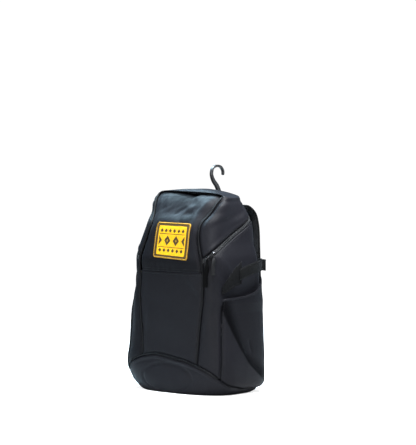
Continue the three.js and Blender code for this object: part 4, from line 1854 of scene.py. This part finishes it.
@dataclass
class Piping:
    """Cloth-covered cord in the front seams and along the toe seam, with its radius and seat by height."""

    radii: Rows = ((375, 1.7), (400, 2.4), (432, 2.2), (455, 1.7))
    toe_radii: Rows = ((0, 1.9),)
    seats: Rows = ((375, -0.5), (400, -2.6), (440, -2.6), (455, -0.8))
    toe_seat: float = 0.4
    toe_reach: float = 1.25
    sides: int = 12

    def build(self) -> None:
        """Makes the three cords."""
        for side in Side:
            stations = np.linspace(FORM.toe(side.value) + 0.12, FORM.RIDGE - 0.1, 200)
            seat = table_at(self.seats, FORM.column("z", stations))
            self.cord(f"front_piping_{side.word}", FORM.skin(side.value, stations, seat), self.radii)
        around = np.linspace(-self.toe_reach, self.toe_reach, 180)
        self.cord("toe_piping", FORM.skin(around, FORM.toe(around), self.toe_seat), self.toe_radii)

    def cord(self, node: str, points: Array, radii: Rows) -> None:
        """One cord along points.

        Args:
            node: The node that it stands for.
            points: Its points.
            radii: Its radius by height.
        """
        route = Route.along(points[::4], len(points), (0.0, 1.0, 0.05), upright=False)
        radius = table_at(radii, route.points[:, 2])
        turn = np.arange(self.sides) * 2 * math.pi / self.sides
        circle = np.stack([np.cos(turn), np.sin(turn)], axis=1)
        add_piece(node + "_cord", route.band(circle, radius, radius), PIPE, [node])


@dataclass(frozen=True)
class SliderPlace:
    """Where a slider sits on the right zip, and its pull tab's place and length."""

    name: str
    around: float
    seat: float
    pull_around: float
    pull_length: float
    pull_width: float
    grip: HardFinish


@dataclass
class Zips:
    """Zip tapes with coils on both sides, and two sliders with pull tabs on the right one."""

    half: float = 7.6
    tape: float = 1.0
    sunk: float = 2.6
    coil: float = 1.6
    back: float = 1.995
    tooth_rows: tuple[int, int] = (6, 10)
    tooth_lift: float = 0.6
    cut: Cut = Cut(0.0152, 0.205)
    body_levels: Rows = (
        (-2.3, 0.7), (-1.9, 0), (-1.0, 0), (-0.8, 0.9), (0.6, 0.9), (0.8, 0), (1.7, 0), (2.2, 0.8),
    )
    arch: Rows = ((-3.4, 0, 1.8), (-2.6, 0, 3.6), (0, 0, 4.2), (2.6, 0, 3.6), (3.4, 0, 1.8))
    slider_lift: float = 1.6
    body_size: Triple = (11, 8, 2.8)
    body_taper: float = 0.16
    bridge_size: Triple = (2.2, 1.1, 0.4)
    pull_steps: int = 72
    pull_start: float = 2.4
    pull_lift: float = 4.6
    pull_drop: float = 4.0
    pull_neck: Pair = (0.42, 0.75)
    pull_section: Pair = (2.2, 0.9)
    pull_tip: float = 0.03
    rib_pitch: float = 2.6
    places: tuple[SliderPlace, ...] = (
        SliderPlace("front", 1.075, 0.5, 1.03, 62.0, 11.0, RUBBER),
        SliderPlace("rear", 1.165, -0.2, 1.13, 44.0, 9.5, GREY_RUBBER),
    )
    teeth: list[Line] = field(default_factory=list)

    def build(self) -> None:
        """Makes tapes, teeth, sliders and pulls."""
        for side in Side:
            self.one_tape(side)
        ZIP_TEETH.lay(self.teeth)
        for place in self.places:
            self.slider(place)

    def one_tape(self, side: Side) -> None:
        """Tape between two cloth edges, and the places of its teeth.

        Args:
            side: The side.
        """

        def rise(around: Array, t: Array) -> Array:
            """Station at a place and a share up."""
            return FORM.zip(around, lerp(-self.half, self.half, t))

        def relief(spot: Spot) -> Array:
            """Lift of the cloth."""
            return -self.sunk + 1.2 * hill(spot.t, 0.5, 0.2)

        net = Net(120, 16, side.span(1.0, self.back), rise, relief, FLAT, self.tape)
        name = f"zip_{side.word}"
        piece = add_piece(name + "_tape", cloth_mesh(net), TAPE, [name])
        f"side_panel_{side.word}_cloth"
        for row in self.tooth_rows:
            self.teeth.append((net.outer[row] + net.normal[row] * self.tooth_lift, net.normal[row]))

    def slider(self, place: SliderPlace) -> None:
        """One slider with its bridge and pull tab.

        Args:
            place: Where it sits.
        """
        station = FORM.zip(place.around)
        spot = FORM.skin(place.around, station, self.coil + place.seat + self.slider_lift)
        up = FORM.normal(place.around, station)
        behind, ahead = (FORM.point(at, FORM.zip(at)) for at in (place.around - 0.03, place.around + 0.03))
        along = ahead - behind
        outline = rounded_profile(*self.body_size, 4)
        outline[:, 1] *= 1 - self.body_taper * (outline[:, 0] < 0)
        bridge = Route.along(self.arch, 14, INWARD).band(rounded_profile(*self.bridge_size))
        metal = Mesh.joined([slab(outline, self.body_levels), bridge]).moved(spot, along, up)
        name = f"slider_{place.name}"
        add_piece(name + "_metal", metal, DARK_METAL, [name])
        self.pull(place, along, spot + up * self.pull_start)

    def pull(self, place: SliderPlace, along: Array, start: Array) -> None:
        """Ribbed tab that hangs from a slider.

        Args:
            place: Where the slider sits.
            along: Direction of the zip.
            start: Where the tab begins.
        """
        top = table_at(FORM.ZIP_LINE, place.around) - self.pull_drop
        shares = np.linspace(0, 1, 6)
        around = lerp(place.around, place.pull_around, np.minimum(1, 1.5 * shares))
        points = FORM.skin(around, FORM.station(top - place.pull_length * shares), self.pull_lift)
        points[0] = start
        route = Route.along(points, self.pull_steps, along, upright=False)
        share = np.linspace(0, 1, self.pull_steps + 1)
        grip = smoothstep(share, 0.2, 0.3)
        ribs = 0.5 + 0.5 * np.sin(share * place.pull_length / self.rib_pitch * 2 * math.pi)
        width = lerp(self.pull_neck[0], 0.92 + 0.08 * ribs, grip)
        thick = lerp(self.pull_neck[1], 0.95 + 0.5 * ribs, grip)
        thick *= np.sqrt(np.clip((1 - share) / self.pull_tip, 0.05, 1))
        tab = route.band(rounded_profile(place.pull_width, *self.pull_section), width, thick)
        name = f"pull_{place.name}"
        add_piece(name + "_tab", tab, place.grip, [name])


# Badge

@dataclass
class Badge:
    """Sewn badge on the lid, with a raised border of wrapped thread."""

    width: float = 103.0
    middle: float = 5.0
    low: float = 313.0
    high: float = 398.0
    lean: float = 5.0
    corner: float = 5.0
    border: float = 2.6
    thickness: float = 1.4
    field_lift: float = 1.2
    edge_lift: float = 0.3
    thread_lift: float = 1.9
    steps: tuple[int, int] = (108, 90)
    cut: Cut = Cut(0.103, 0.088)

    def build(self, lid: Net) -> None:
        """Makes the badge on the lid's cloth.

        Args:
            lid: The lid's net.
        """
        half = np.array([self.width, self.high - self.low]) / 2
        u, v = np.meshgrid(*(np.linspace(-side, side, count + 1) for side, count in zip(half, self.steps)))
        x, y = self.rounded(u, v, half)
        inset = np.minimum(half[0] - np.abs(u), half[1] - np.abs(v))
        base, normal = self.on_lid(lid, x, y, 0.0)
        rim = np.sin(math.pi * np.clip(inset / self.border, 0, 1)) ** 0.8 * (inset < self.border)
        lift = np.where(inset <= 0.01, self.edge_lift, self.field_lift * (1 + rim))[..., None]
        stretch = way_along(base[:, self.steps[0] // 2])[-1] / (2 * half[1])
        flat = np.stack([x, y * stretch], axis=-1) * MM
        faces = (base + normal * height for height in (lift, lift - self.thickness))
        sheet = Sheet(*faces, flat, np.zeros_like(x))
        piece = add_piece("patch_badge", cloth_mesh(sheet), BADGE, ["patch"])
        self.threads(lid, half)

    def rounded(self, x: Array, y: Array, half: Array) -> tuple[Array, Array]:
        """Draws the corners of a square net in to their rounding.

        Args:
            x, y: Places on the badge.
            half: Half its width and height.

        Returns:
            The places drawn in.
        """
        r = self.corner
        off = np.stack([np.abs(x) - (half[0] - r), np.abs(y) - (half[1] - r)])
        far = np.hypot(*off)
        scale = np.where((off.min(axis=0) > 0) & (far > 1e-6), off.max(axis=0) / np.maximum(far, 1e-6), 1.0)
        x = np.where(scale < 1, np.sign(x) * (half[0] - r + off[0] * scale), x)
        return x, np.where(scale < 1, np.sign(y) * (half[1] - r + off[1] * scale), y)

    def on_lid(self, lid: Net, x: Array, y: Array, lift: float) -> Line:
        """Points on the lid's cloth, from places on the badge, and their outward directions.

        Args:
            lid: The lid's net.
            x, y: Places on the badge.
            lift: Height above the cloth.

        Returns:
            Points and directions.
        """
        tall = self.high - self.low
        leaning = self.lean * (0.5 - y / tall) * np.clip(0.5 - x / self.width, 0, 1)
        z = (self.low + self.high) / 2 + y + leaning
        around, station = FORM.around_at_x(x + self.middle, z), FORM.station(z)
        start = FORM.station(FORM.HINGE_SEAM)
        cloth = lid.lift_at((around + 1) / 2, (station - start) / (FORM.RIDGE - start))
        return FORM.skin(around, station, cloth + lift), FORM.normal(around, station)

    def threads(self, lid: Net, half: Array) -> None:
        """Wrapped thread all around the border.

        Args:
            lid: The lid's net.
            half: Half the width and height.
        """
        r = self.corner - self.border / 4
        turn = np.linspace(0, 2 * math.pi, 241)
        circle = np.stack([np.cos(turn), np.sin(turn)], axis=1)
        line = even_points(np.sign(circle) * (half - self.border / 2 - r) + r * circle, 400)
        BADGE_THREADS.lay([self.on_lid(lid, *line.T, self.thread_lift)])


# Loops above the side pockets

@dataclass
class SleeveLoops:
    """Wing and strap that hold a long thing above each side pocket.

    The paths give place, height and lift, and the wing's also its width.
    """

    wing_path: Rows = ((1.235, 245, 0.8, 16), (1.29, 259, 8, 28), (1.37, 275, 15, 40), (1.445, 284, 21, 50))
    strap_path: Rows = (
        (1.415, 279, 21.5),
        (1.466, 282.5, 26),
        (1.56, 289, 33),
        (1.69, 295.5, 34),
        (1.82, 299, 19),
        (1.9, 300, 1.9),
        (1.95, 299, 1.4),
        (1.99, 295, 18),
    )
    strap_width: float = 27.0
    strap_thickness: float = 2.2
    strap_steps: int = 120
    seam_rows: Pair = (-10.8, 10.8)
    seam_lift: float = 0.25
    wing_thickness: float = 2.0
    wing_belly: float = 1.6
    wing_steps: int = 48
    wing_hem: Triple = (5.0, 3.2, 1.2)
    strap_cut: Cut = Cut(0.027, 0.152)
    wing_cut: Cut = Cut(0.05, 0.062, 0.0021)
    lines: list[Line] = field(default_factory=list)

    def build(self) -> None:
        """Makes wings and straps on both sides."""
        for side in Side:
            self.wing(side)
            self.strap(side)

    def wing(self, side: Side) -> None:
        """Cloth wing that carries the front end of the strap, with a bound lower edge.

        Args:
            side: The side.
        """
        corners = FORM.path(side, self.wing_path)
        route = Route.along(corners, self.wing_steps, UP)
        width = width_along(corners, np.array(self.wing_path)[:, 3], self.wing_steps)
        share = np.linspace(-0.5, 0.5, 15)
        across = np.concatenate([share, share[::-1]])
        half = np.full(len(share), self.wing_thickness / 2)
        rings = route.rings(np.column_stack([across, np.concatenate([-half, half])]), width)
        belly = self.wing_belly * np.cos(math.pi * across) * side.value
        grown = smoothstep(np.linspace(0, 1, self.wing_steps + 1), 0, 0.4)
        rings += belly[None, :, None] * route.thick[:, None, :] * grown[:, None, None]
        name = f"wing_{side.word}"
        piece = add_piece(name + "_cloth", tube(rings), HEM, [name])
        f"side_panel_{side.word}_cloth"
        bound = route.shifted(-UP * (width / 2)[:, None]).band(rounded_profile(*self.wing_hem))
        add_piece(f"wing_hem_{side.word}", bound, HEM)

    def strap(self, side: Side) -> None:
        """Strap from the wing to the back seam, with a doubled tail.

        Args:
            side: The side.
        """
        route = Route.along(FORM.path(side, self.strap_path), self.strap_steps, UP)
        share = np.linspace(0, 1, self.strap_steps + 1)
        thick = 1 + 0.5 * (1 - smoothstep(share, 0.1, 0.13)) + 0.6 * smoothstep(share, 0.9, 0.92)
        band = route.band(rounded_profile(self.strap_width, self.strap_thickness, 0.8), 1.0, thick)
        name = f"sleeve_strap_{side.word}"
        piece = add_piece(name + "_band", band, WEB, [name])
        f"wing_{side.word}_cloth"
        f"side_panel_{side.word}_cloth"
        out = route.thick * side.value
        rise = (self.strap_thickness / 2 * thick + self.seam_lift)[:, None]
        self.lines += [(route.points + UP * across + out * rise, out) for across in self.seam_rows]


# Shoulder straps and their lower ends

@dataclass
class ShoulderStraps:
    """Padded shoulder straps, bound at their edges, with webbing and a ladder adjuster below.

    The path gives X, Y, Z and width on the right side, the webbing's path its place, height and lift.
    """

    path: Rows = (
        (46, 88, 436, 52),
        (51, 102, 431, 56),
        (57, 115, 414, 60),
        (61, 119, 386, 62),
        (65, 118, 330, 62),
        (71, 114.5, 260, 60),
        (82, 105, 196, 52),
        (92, 98, 152, 38),
    )
    steps: int = 150
    pad: float = 11.0
    edge: float = 1.4
    fill: float = 0.9
    puff: Puff = Puff(cap=3.0)
    quilt_place: float = 0.52
    quilt_depth: float = 1.1
    quilt_columns: tuple[int, int] = (10, 30)
    quilt_ends: int = 6
    binding: Triple = (8.0, 5.4, 2.2)
    binding_inset: float = 2.2
    rail: Triple = (4.4, 4.0, 1.4)
    bar: Triple = (4.6, 3.8, 1.4)
    rail_x: float = 15.8
    rail_gap: float = 2.2
    bar_points: tuple[float, ...] = (-16.0, -6.0, 6.0, 16.0)
    bar_lift: float = 0.9
    web_path: Rows = ((2.36, 128, 4.5), (2.31, 88, 3.2), (2.24, 44, 2.2))
    web_width: float = 25.0
    web_thickness: float = 2.0
    web_cut: Cut = Cut(0.025, 0.087)
    lines: list[Line] = field(default_factory=list)

    def build(self) -> None:
        """Makes both straps."""
        for side in Side:
            self.strap(side)
            self.lower(side)

    def strap(self, side: Side) -> None:
        """One padded strap with two bound edges and two rows of quilting.

        Args:
            side: The side.
        """
        table = np.array(self.path)
        corners = table[:, :3] * (side.value, 1, 1)
        route = Route.along(corners, self.steps, ACROSS, upright=False)
        share = np.linspace(0, 1, self.steps + 1)
        width = width_along(corners, table[:, 3], self.steps)
        taper = lerp(0.55, 1.0, smoothstep(share, 0, 0.1) * (1 - smoothstep(share, 0.85, 1.0)))
        across = np.linspace(-1, 1, 41)
        body = (1 - np.abs(across) ** 3.2) ** (1 / 2.4)
        quilt = hill(np.abs(across), self.quilt_place, 0.05)
        rise = (self.edge + (self.pad / 2 - self.edge) * body) * taper[:, None] - self.quilt_depth * quilt
        flat = route.points[:, None] + route.wide[:, None] * (across[:, None] * width[:, None, None] / 2)
        lift = route.thick[:, None] * rise[..., None]
        held = np.maximum(quilt, smoothstep(np.abs(across), 0.86, 0.97))
        ends = 1 - smoothstep(share, 0.03, 0.08) * (1 - smoothstep(share, 0.93, 0.97))
        outer = self.puff.swell(flat - lift, np.maximum(held, ends[:, None]))
        rings = np.concatenate([outer, (flat + lift)[:, ::-1]], axis=1)
        name = f"shoulder_strap_{side.word}"
        piece = add_piece(name + "_pad", tube(rings), MESH, [name])
        edges = [edge * route.wide * (width / 2 - self.binding_inset)[:, None] for edge in (-1, 1)]
        tapes = [route.shifted(edge).band(rounded_profile(*self.binding), 1.0, taper) for edge in edges]
        add_piece(f"strap_binding_{side.word}", Mesh.joined(tapes), HEM)
        middle = slice(self.quilt_ends, self.steps - self.quilt_ends)
        out = -route.thick[middle]
        raised = outer[middle] + out[:, None] * Net.THREAD_LIFT
        self.lines += [(raised[:, column], out) for column in self.quilt_columns]

    def lower(self, side: Side) -> None:
        """Webbing from the foot of the back, and the adjuster that joins it to the strap.

        Args:
            side: The side.
        """
        corners = FORM.path(side, self.web_path)
        route = Route.along(corners, 50, ACROSS, upright=False)
        band = route.band(rounded_profile(self.web_width, self.web_thickness, 0.7))
        name = f"webbing_{side.word}"
        piece = add_piece(name + "_band", band, WEB, [name])
        self.adjuster(side, np.array(self.path[-1][:3]) * (side.value, 1, 1), corners[0])

    def adjuster(self, side: Side, top: Array, low: Array) -> None:
        """Ladder adjuster: two rails and three bars of rounded section.

        Args:
            side: The side.
            top, low: Ends of the strap and of the webbing.
        """
        up = top - low
        half = np.linalg.norm(up) / 2 - self.rail_gap
        rail, bar = rounded_profile(*self.rail), rounded_profile(*self.bar)
        parts = []
        for x in (-self.rail_x, self.rail_x):
            line = np.array([(x, y, 0) for y in (-half, -half / 3, half / 3, half)])
            parts.append(Route.along(line, 6, ACROSS).band(rail))
        for y, lift in ((-half, 0.0), (0.0, self.bar_lift), (half, 0.0)):
            line = np.array([(x, y, lift) for x in self.bar_points])
            parts.append(Route.along(line, 6, INWARD).band(bar))
        ladder = Mesh.joined(parts).moved((top + low) / 2, ACROSS, np.cross(ACROSS, up))
        name = f"adjuster_{side.word}"
        add_piece(name + "_ladder", ladder, BLACK_PLASTIC, [name])


# Hanging hook

@dataclass
class FenceHook:
    """Moulded hook of ribbed section above the top, and the plate that holds it at the back.

    The path gives Y, Z and width, and the face a quarter of the section as share of the width and depth.
    """

    path: Rows = (
        (86.8, 414, 6),
        (86.8, 444, 7),
        (84, 463, 15),
        (75, 482.5, 13),
        (62, 496.5, 10.5),
        (55.5, 511, 8.5),
        (59, 524, 7.5),
        (72, 530.7, 7),
        (89, 528.7, 7),
        (98, 519, 6.5),
        (98.5, 508.5, 6),
    )
    steps: int = 140
    slim: float = 0.84
    lean: float = 1.5
    lean_heights: Pair = (450, 500)
    thickness: float = 7.0
    tip: float = 0.02
    face: Rows = ((-0.5, 1.4), (-0.46, 0.4), (-0.36, 0), (-0.24, 0), (-0.18, 0.9))
    plate_outline: Triple = (30.0, 36.0, 5.0)
    plate_levels: Rows = ((-1.5, 0.6), (-1.0, 0), (0.7, 0), (1.5, 1.0), (1.5, 4.0), (1.0, 4.6))
    plate_spot: Triple = (0.0, 81.3, 427.0)

    def build(self) -> None:
        """Makes hook and plate."""
        table = np.array(self.path)
        line = np.column_stack([np.zeros(len(table)), table[:, :2]])
        points = smooth_route(line, self.steps)
        points[:, 0] -= self.lean * smoothstep(points[:, 2], *self.lean_heights)
        tangent = unit(np.gradient(points, axis=0))
        wide = np.cross(ACROSS, tangent)
        width = width_along(line, table[:, 2], self.steps) * self.slim
        width *= np.sqrt(np.clip((1 - np.linspace(0, 1, self.steps + 1)) / self.tip, 0.08, 1))
        quarter = np.array(self.face) - (0, self.thickness / 2)
        lower = np.concatenate([quarter, quarter[::-1] * (-1, 1)])
        profile = np.concatenate([lower, lower[::-1] * (1, -1)])
        hook = Route(points, wide, np.cross(tangent, wide)).band(profile, width)
        add_piece("fence_hook_moulding", hook, BLACK_PLASTIC, ["fence_hook"])
        base = slab(rounded_profile(*self.plate_outline, 5), self.plate_levels)
        base = base.moved(np.array(self.plate_spot), ACROSS, INWARD)
        add_piece("hook_base_plate", base, BLACK_PLASTIC, ["hook_base"])


# Studio

def turn_to(thing: Object, place: Triple, target: Triple) -> None:
    """Sets a lamp or camera at a place and turns it to a target."""
    thing.location = place
    thing.rotation_euler = (Vector(target) - Vector(place)).to_track_quat("-Z", "Y").to_euler()


@dataclass(frozen=True)
class Lamp:
    """A soft square light: place and aim in metres, edge, power in watts and colour."""

    name: str
    place: Triple
    aim: Triple
    size: Pair
    power: float
    colour: Triple

    def hang(self) -> None:
        """Adds the light to the scene."""
        data = bpy.data.lights.new(self.name, "AREA")
        data.shape = "RECTANGLE"
        data.size, data.size_y = self.size
        data.energy = self.power
        data.color = self.colour
        lamp = link(self.name, data)
        turn_to(lamp, self.place, self.aim)
        lamp.visible_camera = False


@dataclass
class Studio:
    """White floor and surround, soft lights and the camera."""

    lamps: tuple[Lamp, ...] = (
        Lamp("front left", (-0.9, -2.8, 1.2), (0, 0, 0.25), (1.6, 1.4), 38, (0.86, 0.94, 1.0)),
        Lamp("front right", (0.9, -2.6, 0.4), (0, 0, 0.2), (1.4, 0.6), 39, (1.0, 0.98, 0.96)),
        Lamp("overhead left", (-0.5, 0.1, 1.3), (0, 0, 0.35), (0.7, 0.6), 47, (0.56, 0.83, 1.0)),
        Lamp("overhead right", (0.45, 0.0, 1.3), (0, 0, 0.35), (0.6, 0.6), 66, (0.92, 0.96, 1.0)),
    )
    reach: float = 6.0
    floor_grey: float = 0.65
    white: float = 1.05
    near_glow: float = 0.8
    glow_reach: Pair = (0.25, 1.1)
    surround: float = 0.02
    camera_place: Triple = (2.898, -3.429, 0.574)
    camera_aim: Triple = (0.0138, 0.0242, 0.3965)
    lens: float = 152.8

    def build(self) -> None:
        """Adds floor, surround, lights and camera."""
        self.floor()
        self.world()
        for lamp in self.lamps:
            lamp.hang()
        self.camera()
        scene = bpy.context.scene
        scene.view_settings.view_transform = "Standard"
        scene.view_settings.look = "None"

    def floor(self) -> None:
        """Pale floor that the camera sees as near white."""
        r = self.reach
        data = bpy.data.meshes.new("floor")
        data.from_pydata([(-r, -r, 0), (r, -r, 0), (r, r, 0), (-r, r, 0)], [], [(0, 1, 2, 3)])
        piece = link("floor", data)
        material, sketch, shader = new_material("studio floor")
        ray = sketch.add("ShaderNodeLightPath").outputs["Is Camera Ray"]
        place = sketch.add("ShaderNodeTexCoord").outputs["Object"]
        away = sketch.add("ShaderNodeVectorMath", {0: place}, operation="LENGTH").outputs["Value"]
        near, far = self.glow_reach
        spread = {"Value": away, "From Min": near, "From Max": far}
        glow = sketch.span(sketch.add("ShaderNodeMapRange", spread).outputs[0], self.near_glow, self.white)
        values = {
            "Base Color": (self.floor_grey, self.floor_grey, self.floor_grey, 1),
            "Roughness": 0.9,
            "Specular IOR Level": 0.0,
            "Emission Color": (1, 1, 1, 1),
            "Emission Strength": sketch.math("MULTIPLY", ray, glow),
        }
        sketch.fill(shader, values)
        data.materials.append(material)

    def world(self) -> None:
        """Surround that is white to the camera and softer as a light."""
        world = bpy.data.worlds.new("surround")
        world.use_nodes = True
        bpy.context.scene.world = world
        sketch = NodeSketch(world.node_tree)
        back = next(node for node in world.node_tree.nodes if node.type == "BACKGROUND")
        ray = sketch.add("ShaderNodeLightPath").outputs["Is Camera Ray"]
        strength = sketch.math("MULTIPLY_ADD", ray, self.white - self.surround, self.surround)
        sketch.fill(back, {"Color": (1, 1, 1, 1), "Strength": strength})

    def camera(self) -> None:
        """Camera at the photo's place."""
        data = bpy.data.cameras.new("camera")
        data.lens = self.lens
        camera = link("camera", data)
        turn_to(camera, self.camera_place, self.camera_aim)
        bpy.context.scene.camera = camera


# The whole bag

def sew(body: ClothBody, pockets: SidePockets, others: Sequence[Line]) -> None:
    """Lays all rows of stitches.

    Args:
        body: The body's panels.
        pockets: The side pockets.
        others: Lines of straps and padding.
    """
    lines = list(others)
    lines += [body.nets["front_panel"][0].line(edge, 6) for edge in ("left", "right", "high", "low")]
    lines += [body.nets["lid_panel"][0].line(edge, 6) for edge in ("left", "right", "low")]
    for side in Side:
        panel = body.nets[f"side_panel_{side.word}"][0]
        lines += [panel.line(side.near, 6), panel.line("high", 5), pockets.nets[side].line(side.near, 4)]
    lines += [net.line("low", 5) for net in body.nets["top_band"][:2]]
    lines += [net.line("high", 4.5) for net in body.nets["toe_cap"][1::2]]
    STITCHES.lay(lines)


def main() -> None:
    """Builds the bag and the studio."""
    logging.basicConfig(level=logging.INFO, format="%(name)s: %(message)s")
    body, pockets, back = ClothBody(), SidePockets(), BackPad()
    loops, shoulders = SleeveLoops(), ShoulderStraps()
    body.build()
    pockets.build()
    back.build()
    Piping().build()
    Zips().build()
    Badge().build(body.nets["lid_panel"][0])
    loops.build()
    shoulders.build()
    FenceHook().build()
    sew(body, pockets, [*back.lines, *loops.lines, *shoulders.lines])
    Studio().build()


if __name__ == "__main__":
    main()
